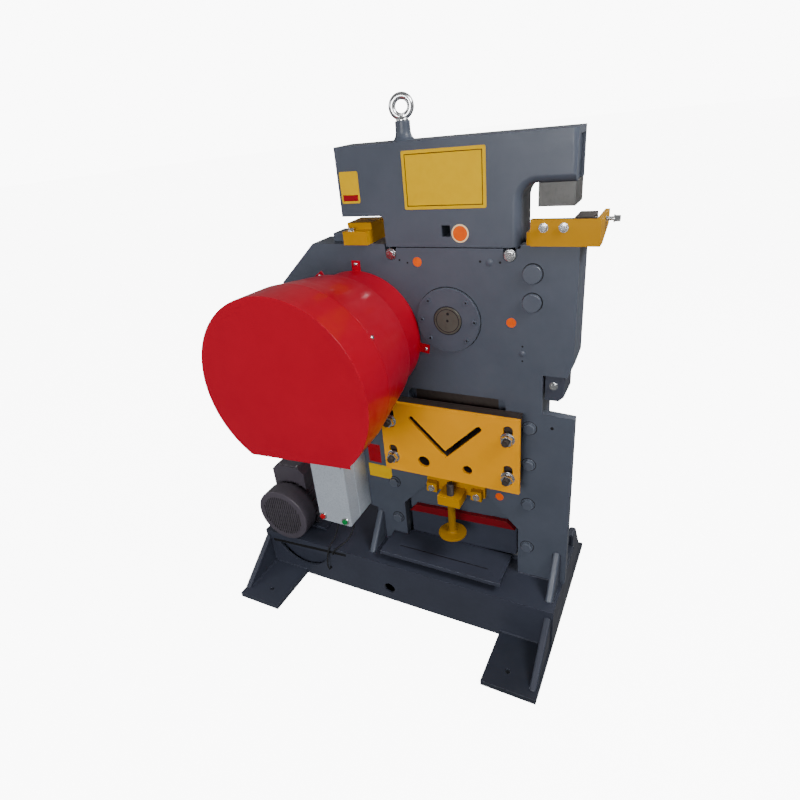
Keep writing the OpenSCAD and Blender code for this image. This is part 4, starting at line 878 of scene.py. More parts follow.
@dataclass
class Base(Unit):
    """Footed base channel, gussets, shear table and their welds."""

    edge: float = 2.5
    gusset_edge: float = 7.0
    bead_r: float = 3.6
    beam_top: float = 190.0
    beam_front: float = -151.0
    foot_top: float = 22.0
    foot_front: float = -353.0
    gusset_rise: float = 168.0
    plate_rise: float = 335.0
    right_gusset: tuple[float, float] = (356.0, 381.0)
    left_gusset: tuple[float, float] = (-357.0, -332.0)
    right_foot: tuple[float, float] = (364.0, 389.0)
    left_foot: tuple[float, float] = (-865.0, -840.0)
    gusset_front: float = -108.0
    plate_bead_stop: float = 12.0
    foot_bead_stop: float = 8.0
    beam_beads: tuple[tuple[float, float], ...] = ((204.0, 364.0), (-840.0, -671.0))
    frame_beads: tuple[tuple[float, float, float], ...] = ((-332.0, -292.0, -292.0),
                                                           (228.0, 356.0, 275.0))
    groove_x: tuple[float, float] = (-229.0, 140.0)
    groove_y: tuple[float, float] = (-78.0, -70.0)
    # black fill of painted shade in the table's groove
    groove_shade_box: tuple[Point, Point] = ((-227.0, -76.6, 233.5), (138.0, -71.4, 236.8))
    # black fill of painted shade in the slit, and the rounding of the black fills
    slit_shade_box: tuple[Point, Point] = ((-830.0, -151.4, 152.6), (-448.0, -131.0, 166.4))
    slit_fall: tuple[float, float] = (29.0, 380.0)
    shade_fill_edge: float = 0.4

    def build(self) -> list[bpy.types.Object]:
        """The base's pieces."""
        paint = (Finish.BASE, Body.FRAME, Slot.BASE_PAINT)
        made = [dress(n, *paint, Round(w, s)) for n, w, s in (
            ("base_beam", self.edge, 3), ("foot_left", 1.8, 2), ("table_bars", 1.0, 2),
            ("shear_bed", 0.8, 1), ("motor_base", 1.2, 2), ("beam_liner", 0.5, 1))]
        # the right foot wears a darker copy of the base enamel, painted shade
        made.append(dress("foot_right", Finish.FOOT, Body.FRAME, Slot.BASE_PAINT, Round(1.8, 2)))
        made.append(dress("shear_table", *paint, Round(1.2, 2, self.off_groove)))
        made.append(dress("foot_gussets", *paint, Round(self.gusset_edge, 4)))
        made.append(dress("frame_gussets", Finish.FRAME, Body.FRAME, Slot.FRAME_PAINT,
                          Round(self.gusset_edge, 4)))
        made += [self.welds(), self.slit_shade_fill(), self.groove_shade_fill()]
        return made

    def off_groove(self, first: Vector, last: Vector) -> bool:
        """Whether an edge of the table is not on its groove."""
        (left, right), (front, rear) = self.groove_x, self.groove_y
        return not all(front < p.y < rear and left < p.x < right for p in (first, last))

    def slit_shade_fill(self) -> bpy.types.Object:
        """Black block in the slanted slit of the beam's front: painted shade in the slit."""
        lean = Matrix.Rotation(-math.atan2(*self.slit_fall), 4, "Y")
        shape = Shape().block(*self.slit_shade_box, self.shade_fill_edge, 1, lean)
        return add("slit_shade_fill", shape, Finish.BLACK, Body.FRAME)

    def groove_shade_fill(self) -> bpy.types.Object:
        """Black block in the groove of the shear table: painted shade in the groove."""
        shape = Shape().block(*self.groove_shade_box, self.shade_fill_edge, 1)
        return add("groove_shade_fill", shape, Finish.BLACK, Body.FRAME)

    def welds(self) -> bpy.types.Object:
        """Weld beads of feet, gussets and frame plates."""
        front, top, foot = self.beam_front, self.beam_top, self.foot_top
        plate_stop = self.plate_rise - self.plate_bead_stop
        foot_stop = self.gusset_rise - self.foot_bead_stop
        runs: list[tuple[Point, Point]] = []
        for x in (*self.right_gusset, *self.left_gusset):
            runs.append(((x, self.gusset_front, top), (x, 0, top)))
            runs.append(((x, 0, top), (x, 0, plate_stop)))
        for x in (self.right_foot[0], self.left_foot[1]):
            runs.append(((x, self.foot_front + self.foot_bead_stop, foot), (x, front, foot)))
            runs.append(((x, front, foot), (x, front, foot_stop)))
        for low, high in self.beam_beads:
            runs.append(((low, front, foot), (high, front, foot)))
        for low, high, rear in self.frame_beads:
            runs.append(((low, 0, top), (high, 0, top)))
            runs.append(((low, FRAME_T, top), (rear, FRAME_T, top)))
        shape = Shape()
        for start, end in runs:
            shape.bead(Vector(start), Vector(end), self.bead_r)
        return add("base_welds", shape, Finish.BASE, Body.FRAME)


@dataclass
class Frame(Unit):
    """Front and rear plates, core, bearings, their bolts and small marks."""

    bolt_r: float = 20.0
    bolt_head: float = 13.0
    bolt_washer: tuple[float, float] = (22.5, 2.6)
    bolt_seat: float = 2.0
    bolt_shank: tuple[float, float] = (12.0, 48.0)
    bolt_turn: float = 11.0
    right_bolts: tuple[float, ...] = (-353.0, -495.0, -661.0, -854.0)
    left_bolts: tuple[float, ...] = (-689.0, -863.0)
    bolt_x: float = 262.0
    pin_x: float = 263.0
    pin_r: float = 28.0
    pins: tuple[float, float] = (155.0, 70.0)
    flange_r: float = 105.0
    line_w: float = 2.6
    line_lap: float = 0.3
    line_low: float = -0.4
    line_high: float = 0.15
    cover_x: tuple[float, float] = (-185.0, 196.0)
    cover_y: float = 30.0
    cover_z: float = 206.0
    cover_washer: tuple[float, float] = (17.4, 30.6)
    cover_head: tuple[float, float] = (15.0, 9.0)
    cover_shank: tuple[float, float] = (8.0, 20.0)
    flange_y: float = -10.0
    flange_pcr: float = 88.0
    flange_shank: tuple[float, float] = (5.0, 26.0)
    socket_y: float = -11.3
    socket_r: float = 3.3
    bore_shade_ring: tuple[float, float] = (44.6, 47.6)
    flange_angles: tuple[float, ...] = (0.0, 45.0, 135.0, 180.0, 225.0, 315.0)
    drilled: tuple[tuple[float, float, float], ...] = (
        (-156.0, 187.0, 3.4), (-129.0, 179.0, 3.0), (108.0, 187.0, 3.6), (168.0, 185.0, 3.6),
        (236.0, -70.0, 3.0), (236.0, -118.0, 3.0), (334.0, -342.0, 5.5))
    plugs: tuple[tuple[float, float, float], ...] = ((136.0, 184.5, 11.0), (236.0, -94.0, 10.0))
    oil_discs: tuple[tuple[float, float], ...] = ((-95.0, 182.0), (201.0, 4.0), (160.0, -655.0))
    oil_disc_r: float = 15.0
    sign_red: tuple[float, float, float, float] = (-366.0, -312.0, -612.0, -530.0)
    sign_yellow: tuple[float, float, float, float] = (-372.0, -272.0, -682.0, -623.0)

    def build(self) -> list[bpy.types.Object]:
        """The frame's pieces."""
        paint = (Finish.FRAME, Body.FRAME, Slot.FRAME_PAINT)
        made = [dress(n, *paint, Round(w, s)) for n, w, s in (
            ("front_plate", 1.6, 2), ("rear_plate", 1.6, 2), ("core_left", 0.8, 1),
            ("core_right", 0.8, 1), ("bearing_front", 2.0, 3), ("bearing_rear", 2.0, 3),
            ("drive_bearings", 1.5, 2), ("notch_stop", 2.0, 2))]
        # pins wear the lighter copy of the frame enamel, painted highlight
        made.append(dress("pin_heads", Finish.BOLT, Body.FRAME, Slot.FRAME_PAINT, Round(2.5, 3)))
        made += [self.bolts(), self.contact_shade_rings(), self.covers(), self.flange_screws(), self.hole_shade(),
                 self.discs(), self.plug_heads()]
        made.append(self.sign("side_plate_red", self.sign_red, Finish.SIGN_RED))
        made.append(self.sign("side_plate_yellow", self.sign_yellow, Finish.LABEL))
        return made

    def bolt_places(self) -> list[tuple[float, float]]:
        """Places of the frame bolts, right row first, with heights from the shaft."""
        right = [(self.bolt_x, z) for z in self.right_bolts]
        return right + [(-self.bolt_x, z) for z in self.left_bolts]

    def bolts(self) -> bpy.types.Object:
        """Painted hexagon heads on washers, with their shanks."""
        shape = Shape()
        washer_r, washer_t = self.bolt_washer
        shank_r, shank = self.bolt_shank
        for i, (x, z) in enumerate(self.bolt_places()):
            wall = at(x, 0, z)
            seat = wall + FRONT * self.bolt_seat
            shape.rod(wall + FRONT * washer_t, wall + BACK, washer_r, sides=40, edge=0.7)
            # heads wear the lighter copy of the frame enamel, painted highlight
            shape.hexagon(seat, FRONT, self.bolt_r, self.bolt_head - self.bolt_seat, self.bolt_turn * i)
            shape.rod(seat, wall + BACK * shank, shank_r, sides=24)
        return add("frame_bolt_heads", shape, Finish.BOLT, Body.FRAME,
                   ("frame_bolts",))

    def contact_shade_rings(self) -> bpy.types.Object:
        """Black rings of painted shade where heads, pins and the bearing flange meet the plate."""
        shape = Shape()
        heads = [(x, z, self.bolt_washer[0]) for x, z in self.bolt_places()]
        heads += [(self.pin_x, z, self.pin_r) for z in self.pins]
        heads.append((0.0, 0.0, self.flange_r))
        for x, z, head_r in heads:
            inner = head_r - self.line_lap
            line = ring(inner, inner + self.line_w, self.line_low, self.line_high)
            shape.collar(at(x, 0, z), FRONT, line, 72)
        return add("contact_shade_rings", shape, Finish.BLACK, Body.FRAME)

    def covers(self) -> bpy.types.Object:
        """Bright screws at the two ends of the cover seam."""
        shape = Shape()
        washer_r, washer_t = self.cover_washer
        shank_r, shank = self.cover_shank
        for i, x in enumerate(self.cover_x):
            seat = at(x, self.cover_y, self.cover_z)
            shape.rod(seat, seat + FRONT * washer_t, washer_r, sides=40, edge=0.6)
            shape.hexagon(seat + FRONT * self.cover_y, FRONT, *self.cover_head, 8.0 + 17.0 * i)
            shape.rod(seat, seat + BACK * shank, shank_r, sides=24)
        return add("cover_screws", shape, Finish.ZINC, Body.FRAME, ("cover_bolts",))

    def flange_screws(self) -> bpy.types.Object:
        """Socket screws of the bearing flange."""
        shape = Shape()
        head = [(0.0, 0.0), (7.0, 0.0), (7.0, 3.2), (6.4, 4.0), (3.6, 4.0), (3.4, 1.4), (0.0, 1.2)]
        shank_r, shank = self.flange_shank
        for angle in self.flange_angles:
            seat = round_at(0, self.flange_y, 0, self.flange_pcr, angle)
            shape.lathe(seat, FRONT, head, 24)
            shape.rod(seat, seat + BACK * shank, shank_r, sides=20)
        return add("flange_screws", shape, Finish.FRAME, Body.FRAME,
                   ("flange_bolts",))

    def hole_shade(self) -> bpy.types.Object:
        """Black discs of painted shade in the drilled holes of the front plate and the flange screws'
        sockets, and a black ring of painted shade in the gap round the bore.
        """
        shape = Shape()
        for angle in self.flange_angles:
            seat = round_at(0, self.socket_y, 0, self.flange_pcr, angle)
            shape.lathe(seat, FRONT, disc(self.socket_r, -0.4, 0.4), 20)
        shape.collar(at(0, self.flange_y, 0), FRONT, ring(*self.bore_shade_ring, -0.4, 0.2), 72)
        for x, z, r in self.drilled:
            shape.lathe(at(x, 0, z), FRONT, disc(r, -0.5, 0.15), 24)
        return add("hole_shade_spots", shape, Finish.BLACK, Body.FRAME)

    def discs(self) -> bpy.types.Object:
        """Plain orange discs at the oiling places."""
        shape = Shape()
        for x, z in self.oil_discs:
            shape.lathe(at(x, 0, z), FRONT, coin(self.oil_disc_r), 40)
        return add("oil_discs", shape, Finish.ORANGE, Body.FRAME)

    def plug_heads(self) -> bpy.types.Object:
        """Low painted plugs between the drilled spots."""
        shape = Shape()
        for x, z, r in self.plugs:
            dome = [(0.0, -0.5), (r, -0.5), (r, 0.6), (0.8 * r, 2.0), (0.4 * r, 2.8), (0.0, 3.0)]
            shape.lathe(at(x, 0, z), FRONT, dome, 32)
        return add("plug_heads", shape, Finish.FRAME, Body.FRAME)

    def sign(self, name: str, box: tuple[float, float, float, float],
             finish: Finish) -> bpy.types.Object:
        """One blank plate on the front plate, left of the guide.

        Args:
            name: name of the piece.
            box: its left, right, low and top edges, heights from the shaft.
            finish: its finish.

        Returns:
            The piece.
        """
        x0, x1, z0, z1 = box
        middle = at((x0 + x1) / 2, 0, (z0 + z1) / 2)
        shape = Shape().plate(middle, FRONT, x1 - x0, z1 - z0, thick=0.8, corner=3.0)
        return add(name, shape, finish, Body.FRAME)


@dataclass
class Ram(Unit):
    """T-shaped ram with its eye, blades, punch block and blank plates."""

    front_round: float = 6.0
    throat_round: float = 22.0
    end_round: float = 13.0
    rear_round: float = 5.0
    head_low: float = 228.0
    column: tuple[float, float] = (-200.0, 223.0)
    eye_x: float = -137.0
    head_top: float = 524.0
    head_right: float = 368.0
    arm_low: float = 396.0
    slot_top: float = 330.0
    eye_turn: float = -20.0
    eye_foot: float = 51.0
    eye_rise: float = 38.0
    eye_ring: tuple[float, float] = (27.0, 10.0)
    label: tuple[float, float, float, float] = (-122.0, 130.0, 338.0, 500.0)
    tag: tuple[float, float, float, float] = (-338.0, -273.0, 361.0, 454.0)
    badge: tuple[float, float, float] = (49.0, 268.0, 26.5)
    badge_rim_w: float = 4.5
    plate_t: float = 1.0
    plate_corner: float = 5.0
    border_gap: float = 9.0
    border_w: float = 2.6
    border_y: tuple[float, float] = (-1.25, -0.9)
    band_inset: float = 6.0
    band_rise: tuple[float, float] = (7.0, 25.0)
    band_y: tuple[float, float] = (-1.3, -0.9)
    # place and size of the black sheet of painted shade in the vee
    vee: tuple[float, float, float, float] = (-8.0, -492.0, 192.0, 20.0)
    flap_y: float = 60.0
    flap_half: float = 2.0
    flap_over: float = 0.4

    def build(self) -> list[bpy.types.Object]:
        """The ram's pieces."""
        made = [dress("ram", Finish.FRAME, Body.RAM, Slot.FRAME_PAINT,
                      Round(self.throat_round, 6, self.on_throat, clamp=False),
                      Round(self.end_round, 4, self.on_end, clamp=False),
                      Round(self.front_round, 4, self.on_front), Round(self.rear_round, 3, self.on_rear),
                      Round(1.2, 2))]
        made += [dress(n, f, Body.RAM, s, Round(w, 2)) for n, f, s, w in (
            ("punch_block", Finish.PUNCH, Slot.BLADE_STEEL, 1.0),
            ("section_blade", Finish.IRON, Slot.BLADE_STEEL, 0.6),
            ("upper_blade", Finish.BASE, Slot.BLADE_STEEL, 0.5),
            ("blade_holder", Finish.STRIP, Slot.GUARD_PAINT, 1.0))]
        made += [self.boss(), self.eye(), self.plates(), self.border(), self.band()]
        made += [self.badge_rim(), self.badge_disc(), self.vee_shade_flap()]
        return made

    def vee_shade_flap(self) -> bpy.types.Object:
        """Black rubber sheet behind the section blade's vee, painted shade where the floor would show
        through.
        """
        shape = Shape()
        x, z, long, wide = self.vee
        for lean in (-45.0, 45.0):
            turn = Matrix.Rotation(math.radians(lean), 4, "Y")
            middle = at(x, self.flap_y, z) + turn @ Vector((0, 0, long / 2 - wide / 2))
            half = Vector((wide / 2 + self.flap_over, self.flap_half, long / 2))
            shape.block(middle - half, middle + half, 0.6, 2, turn)
        return add("vee_shade_flap", shape, Finish.RUBBER, Body.RAM)

    def on_outline(self, first: Vector, last: Vector) -> bool:
        """Whether an edge is on the head's outer outline, not on the seam or slot."""
        low, high = sorted(p.z - SHAFT_Z for p in (first, last))
        in_column = all(self.column[0] + 1 < p.x < self.column[1] - 1 for p in (first, last))
        on_seam = high < self.head_low + 4
        return low > self.head_low - 2 and not on_seam and not (in_column and low < self.slot_top)

    def on_throat(self, first: Vector, last: Vector) -> bool:
        """Whether an edge is on the front rim round the throat."""
        right = min(first.x, last.x) > self.column[1] - 2
        below = max(first.z, last.z) - SHAFT_Z < self.arm_low + 1
        return right and below and self.on_front(first, last)

    def on_end(self, first: Vector, last: Vector) -> bool:
        """Whether an edge is on the front rim of the right end."""
        return min(first.x, last.x) > self.head_right - 2 and self.on_front(first, last)

    def on_front(self, first: Vector, last: Vector) -> bool:
        """Whether an edge is on the head's front rim."""
        return max(abs(first.y), abs(last.y)) < ON_PLANE and self.on_outline(first, last)

    def on_rear(self, first: Vector, last: Vector) -> bool:
        """Whether an edge is on the head's rear rim."""
        far = max(abs(first.y - FRAME_T), abs(last.y - FRAME_T))
        return far < ON_PLANE and self.on_outline(first, last)

    def boss(self) -> bpy.types.Object:
        """Painted boss with its flared foot."""
        profile = [(0, -2), (38, -2), (37, 0.6), (31, 3), (26.5, 8), (23.6, 15), (22.2, 23), (22, 34),
                   (22, 49.6), (21.4, 51.2), (19.8, 52), (0, 52)]
        shape = Shape().lathe(at(self.eye_x, FRAME_T / 2, self.head_top), UP, profile)
        return add("eye_boss", shape, Finish.FRAME, Body.RAM)

    def eye(self) -> bpy.types.Object:
        """Bright lifting eye on its collar."""
        foot = at(self.eye_x, FRAME_T / 2, self.head_top + self.eye_foot)
        collar = [(0, 0), (17, 0), (18, 1.5), (18, 5), (16.5, 7), (13, 9.5), (11.6, 14), (11, 20), (0, 20)]
        turn = math.radians(self.eye_turn)
        axis = Vector((-math.sin(turn), -math.cos(turn), 0.0))
        shape = Shape().lathe(foot, UP, collar)
        shape.torus(foot + UP * self.eye_rise, axis, *self.eye_ring, sides=64, rod_sides=24)
        return add("lifting_eye", shape, Finish.ZINC, Body.RAM, ("eye_bolt",))

    def plates(self) -> bpy.types.Object:
        """Blank yellow plates on the head."""
        shape = Shape()
        for x0, x1, z0, z1 in (self.label, self.tag):
            middle = at((x0 + x1) / 2, 0, (z0 + z1) / 2)
            shape.plate(middle, FRONT, x1 - x0, z1 - z0, self.plate_t, self.plate_corner)
        return add("blank_plates", shape, Finish.LABEL, Body.RAM, ("label_plates",))

    def border(self) -> bpy.types.Object:
        """Plain dark border line round the large plate."""
        shape = Shape()
        gap, line = self.border_gap, self.border_w
        front, rear = self.border_y
        x0, x1, z0, z1 = (e + gap * side for e, side in zip(self.label, (1, -1, 1, -1)))
        for left, right, low, high in ((x0, x1, z0, z0 + line), (x0, x1, z1 - line, z1),
                                       (x0, x0 + line, z0, z1), (x1 - line, x1, z0, z1)):
            shape.block(at(left, front, low), at(right, rear, high), 0.08, 1)
        return add("plate_border", shape, Finish.LINE, Body.RAM)

    def band(self) -> bpy.types.Object:
        """Plain red band along the foot of the small plate."""
        x0, x1, z0, _ = self.tag
        (front, rear), (low, high) = self.band_y, self.band_rise
        inset = self.band_inset
        shape = Shape().block(at(x0 + inset, front, z0 + low), at(x1 - inset, rear, z0 + high), 0.1, 1)
        return add("tag_band", shape, Finish.SIGN_RED, Body.RAM)

    def badge_rim(self) -> bpy.types.Object:
        """Pale rim of the plain round plate beside the slot."""
        x, z, r = self.badge
        shape = Shape().lathe(at(x, 0, z), FRONT, coin(r), 56)
        return add("badge_rim", shape, Finish.CREAM, Body.RAM)

    def badge_disc(self) -> bpy.types.Object:
        """Orange middle of the plain round plate."""
        x, z, r = self.badge
        inner = r - self.badge_rim_w
        middle = [(0.0, 0.3), (inner, 0.3), (inner, 0.8), (inner - 0.4, 1.0), (0.0, 1.0)]
        shape = Shape().lathe(at(x, 0, z), FRONT, middle, 56)
        return add("badge_disc", shape, Finish.ORANGE, Body.RAM)


@dataclass
class PunchDie(Unit):
    """Die holder, die, clamp screw, notch table and side block."""

    seat: float = 236.0
    holder_bolts: tuple[float, float] = (293.0, 346.0)
    holder_bolt_y: float = -18.0
    holder_bolt_rise: float = 50.0
    holder_shank: float = 12.0
    notch_bolt: float = -318.0
    notch_rise: float = 42.0
    tool_shank: float = 26.0
    washer: tuple[float, float] = (13.0, 1.8)
    bolt_head: tuple[float, float] = (11.0, 7.4)
    bolt_seat: float = 1.6
    shank_r: float = 6.0
    screw_y: float = 55.0
    screw_z: float = 294.0
    screw_len: float = 52.0
    screw_r: float = 6.0
    screw_pitch: float = 2.0
    screw_head: tuple[float, float] = (9.0, 14.0)
    hold_bolts: tuple[float, float] = (-86.0, 86.0)
    hold_seat: tuple[float, float] = (-39.0, -650.0)
    hold_shank: float = 66.0
    side_bolt: Point = (332.0, 6.0, -194.0)
    wall_h: float = 72.0
    strip_x: tuple[float, float] = (259.0, 427.0)
    strip_y: tuple[float, float] = (-17.6, -6.4)
    screw_x: tuple[float, float] = (412.3, 462.0)

    def build(self) -> list[bpy.types.Object]:
        """The punch and notch tools' pieces."""
        # die holder and notch table wear the darker copy of the tool yellow, painted shade
        tool = (Finish.HOLDER, Body.FRAME, Slot.TOOL_PAINT)
        made = [dress("die_holder", *tool, Round(1.2, 2)), dress("notch_table", *tool, Round(1.5, 2)),
                dress("die_block", Finish.IRON, Body.FRAME, Slot.IRON, Round(1.0, 2)),
                dress("side_block", Finish.BASE, Body.FRAME, Slot.BLADE_STEEL, Round(1.5, 2))]
        made += [self.bolts(), self.screw(), self.edge_strip()]
        return made

    def edge_strip(self) -> bpy.types.Object:
        """Black strip along the top of the holder's front wall."""
        top = self.seat + self.wall_h
        (left, right), (front, rear) = self.strip_x, self.strip_y
        shape = Shape().block(at(left, front, top - 0.6), at(right, rear, top + 0.8), 0.4, 1)
        return add("holder_strip", shape, Finish.BLACK, Body.FRAME)

    def bolts(self) -> bpy.types.Object:
        """Bright hexagon bolts of the tools."""
        shape = Shape()
        for i, x in enumerate(self.hold_bolts):
            self.bolt(shape, at(x, *self.hold_seat), FRONT, self.hold_shank, 20.0 * i)
        for i, x in enumerate(self.holder_bolts):
            seat = at(x, self.holder_bolt_y, self.seat + self.holder_bolt_rise)
            self.bolt(shape, seat, FRONT, self.holder_shank, 13.0 * i + 5.0)
        notch = at(self.notch_bolt, 0, self.seat + self.notch_rise)
        self.bolt(shape, notch, UP, self.tool_shank, 10.0)
        self.bolt(shape, at(*self.side_bolt), FRONT, self.tool_shank, 4.0)
        return add("tool_bolt_heads", shape, Finish.ZINC, Body.FRAME, ("tool_bolts",))

    def bolt(self, shape: Shape, seat: Vector, axis: Vector, shank: float, turn: float) -> None:
        """One bolt on a washer.

        Args:
            shape: shape that it joins.
            seat: middle of the washer's seat.
            axis: direction of the head.
            shank: shank length below the seat.
            turn: turn of the head in degrees.
        """
        washer_r, washer_t = self.washer
        head = seat + axis * self.bolt_seat
        shape.rod(seat - axis * 0.3, seat + axis * washer_t, washer_r, sides=36, edge=0.4)
        shape.hexagon(head, axis, *self.bolt_head, turn)
        shape.rod(head, seat - axis * shank, self.shank_r, sides=20)

    def screw(self) -> bpy.types.Object:
        """Clamp screw with its thread and hexagon end."""
        start, head = (at(x, self.screw_y, self.screw_z) for x in self.screw_x)
        shape = Shape().thread(start, RIGHT, self.screw_len, self.screw_r, self.screw_pitch)
        shape.hexagon(head, RIGHT, *self.screw_head, 12.0)
        shape.rod(head - RIGHT * 2.5, head + RIGHT * 0.2, 10.5, sides=32, edge=0.5)
        return add("clamp_screw", shape, Finish.ZINC, Body.CLAMP, ("die_screw",))


@dataclass
class SectionShear(Unit):
    """Guide plate, section die, lower blade and the guide's studs."""

    studs: tuple[tuple[float, float], ...] = ((-212.0, -362.0), (-212.0, -512.0), (212.0, -362.0),
                                              (212.0, -512.0))
    guide_y: float = -72.0
    stud_foot: float = 48.0
    stud_r: float = 12.0
    stud_out: float = 20.0
    stud_end: float = 16.3
    stud_pitch: float = 2.2
    nut: tuple[float, float] = (20.5, 14.0)
    nut_seat: float = 8.0

    def build(self) -> list[bpy.types.Object]:
        """The section shear's pieces."""
        made = [dress("guide_plate", Finish.TOOL, Body.GUIDE, Slot.TOOL_PAINT, Round(0.9, 2)),
                dress("section_die", Finish.IRON, Body.FRAME, Slot.IRON, Round(1.2, 2)),
                dress("lower_blade", Finish.BLADE, Body.FRAME, Slot.BLADE_STEEL, Round(0.4, 1))]
        made += [self.nuts(), self.ends()]
        return made

    def nuts(self) -> bpy.types.Object:
        """Bright washers, spring washers and nuts on the studs."""
        shape = Shape()
        washer = [(12.4, 0), (24, 0), (24, 3.2), (23.2, 4), (12.4, 4)]
        spring = [(12.4, 4), (18.6, 4), (18.6, 7.4), (18, 8), (12.4, 8)]
        for i, (x, z) in enumerate(self.studs):
            seat = at(x, self.guide_y - 0.3, z)
            shape.collar(seat, FRONT, washer, 44)
            shape.collar(seat, FRONT, spring, 40)
            shape.hexagon(seat + FRONT * self.nut_seat, FRONT, *self.nut, 9.0 + 23.0 * i)
        return add("stud_nuts", shape, Finish.ZINC, Body.FRAME, ("guide_studs",))

    def ends(self) -> bpy.types.Object:
        """Dark threaded stud ends."""
        shape = Shape()
        for x, z in self.studs:
            seat = at(x, self.guide_y - self.stud_out, z)
            shape.thread(seat, FRONT, self.stud_end, self.stud_r, self.stud_pitch)
            shape.rod(seat, at(x, self.stud_foot, z), self.stud_r - 0.1, sides=28)
        return add("stud_ends", shape, Finish.IRON, Body.FRAME)


@dataclass
class HoldDown(Unit):
    """Bracket and screw that hold the sheet on the shear table."""

    rod_y: float = -66.0
    rod_r: float = 13.5
    disc_z: float = 363.0
    rod_top: float = 590.0
    plain_h: float = 150.0

    def build(self) -> list[bpy.types.Object]:
        """The hold-down's pieces."""
        # the bracket wears the darker copy of the tool yellow, painted shade
        made = [dress("hold_bracket", Finish.HOLDER, Body.FRAME, Slot.TOOL_PAINT, Round(2.0, 3))]
        made += [self.screw(), self.rod_thread()]
        return made

    def screw(self) -> bpy.types.Object:
        """Yellow rod on its pressing disc."""
        profile = [(0, 0), (49, 0), (51.4, 1.2), (52, 3), (52, 7), (51, 9.2), (49, 10), (24, 10), (17, 12),
                   (14.4, 15.5), (self.rod_r, 20), (self.rod_r, self.plain_h), (0, self.plain_h)]
        shape = Shape().lathe(Vector((0, self.rod_y, self.disc_z)), UP, profile, 64)
        # the rod wears the darker copy of the tool yellow, painted shade
        return add("pressing_rod", shape, Finish.PRESS, Body.HOLD, ("hold_screw",))

    def rod_thread(self) -> bpy.types.Object:
        """Dark threaded upper end of the rod."""
        start = self.disc_z + self.plain_h - 1.0
        shape = Shape().thread(Vector((0, self.rod_y, start)), UP, self.rod_top - start,
                               self.rod_r - 0.1, 2.6)
        return add("rod_thread", shape, Finish.IRON, Body.HOLD)


@dataclass
class Guard(Unit):
    """Red flywheel guard and the rear cover, with their screws."""

    centre: tuple[float, float] = (-325.1, -72.1)
    seam_y: float = -354.0
    seam_r: float = 281.0
    tabs: tuple[float, ...] = (352.0, 88.0, 125.0)
    tab_r: float = 243.0
    tab_y: float = -3.0
    seam_screw: float = 30.0
    rear_y: float = 290.0
    rear_arcs: tuple[tuple[float, float, float, tuple[float, ...]], ...] = (
        (0.0, 0.0, 277.0, (-82.0, -40.0, 2.0, 44.0, 86.0)), (-325.1, -72.1, 182.0, (142.0,)),
        (-461.1, -337.1, 141.0, (160.9, 324.7)), (-597.0, -602.0, 99.0, (160.9, 324.7)),
        (-733.0, -867.0, 57.0, (196.0, 288.0)))

    def build(self) -> list[bpy.types.Object]:
        """The guards' pieces."""
        red = (Finish.GUARD, Body.FRAME, Slot.GUARD_PAINT)
        made = [dress("guard_pan", *red, Round(1.2, 2)), dress("guard_shell", *red, Round(1.0, 2)),
                dress("rear_cover", *red, Round(1.2, 2))]
        made += [self.screws(), self.rear_panel(), self.rear_screws()]
        return made

    def rear_panel(self) -> bpy.types.Object:
        """Pressed round panel on the back of the rear cover."""
        profile = [(0, -0.6), (216, -0.6), (216, 0.2), (213, 1.0), (208, 3.2), (204, 4.0), (92, 4.0),
                   (88, 3.2), (83, 1.0), (79, 0.4), (0, 0.4)]
        shape = Shape().lathe(at(0, self.rear_y, 0), BACK, profile, 96)
        return add("rear_panel", shape, Finish.GUARD, Body.FRAME)

    def rear_screws(self) -> bpy.types.Object:
        """Bright washers and screws round the rim of the rear cover."""
        shape = Shape()
        washer = [(0, -0.6), (11, -0.6), (11, 1.0), (10.4, 1.6), (0, 1.6)]
        for x, z, reach, angles in self.rear_arcs:
            for angle in angles:
                seat = round_at(x, self.rear_y, z, reach, angle)
                shape.lathe(seat, BACK, washer, 28)
                shape.hexagon(seat + BACK * 1.6, BACK, 7.4, 5.2, 7.0 + angle)
        return add("rear_screws", shape, Finish.ZINC, Body.FRAME)

    def screws(self) -> bpy.types.Object:
        """Bright screws on the tabs and at the seam."""
        shape = Shape()
        head = [(0, -1.0), (6.6, -1.0), (6.6, 1.2), (5.6, 2.6), (3.6, 3.4), (1.1, 3.6), (1.0, 2.4),
                (0, 2.4)]
        cx, cz = self.centre
        for angle in self.tabs:
            shape.lathe(round_at(cx, self.tab_y, cz, self.tab_r, angle), FRONT, head, 24)
        turn = math.radians(self.seam_screw)
        out = Vector((math.cos(turn), 0.0, math.sin(turn)))
        shape.lathe(at(cx, self.seam_y + 8, cz) + out * (self.seam_r - 1.3), out, head, 24)
        return add("guard_screws", shape, Finish.ZINC, Body.FRAME)


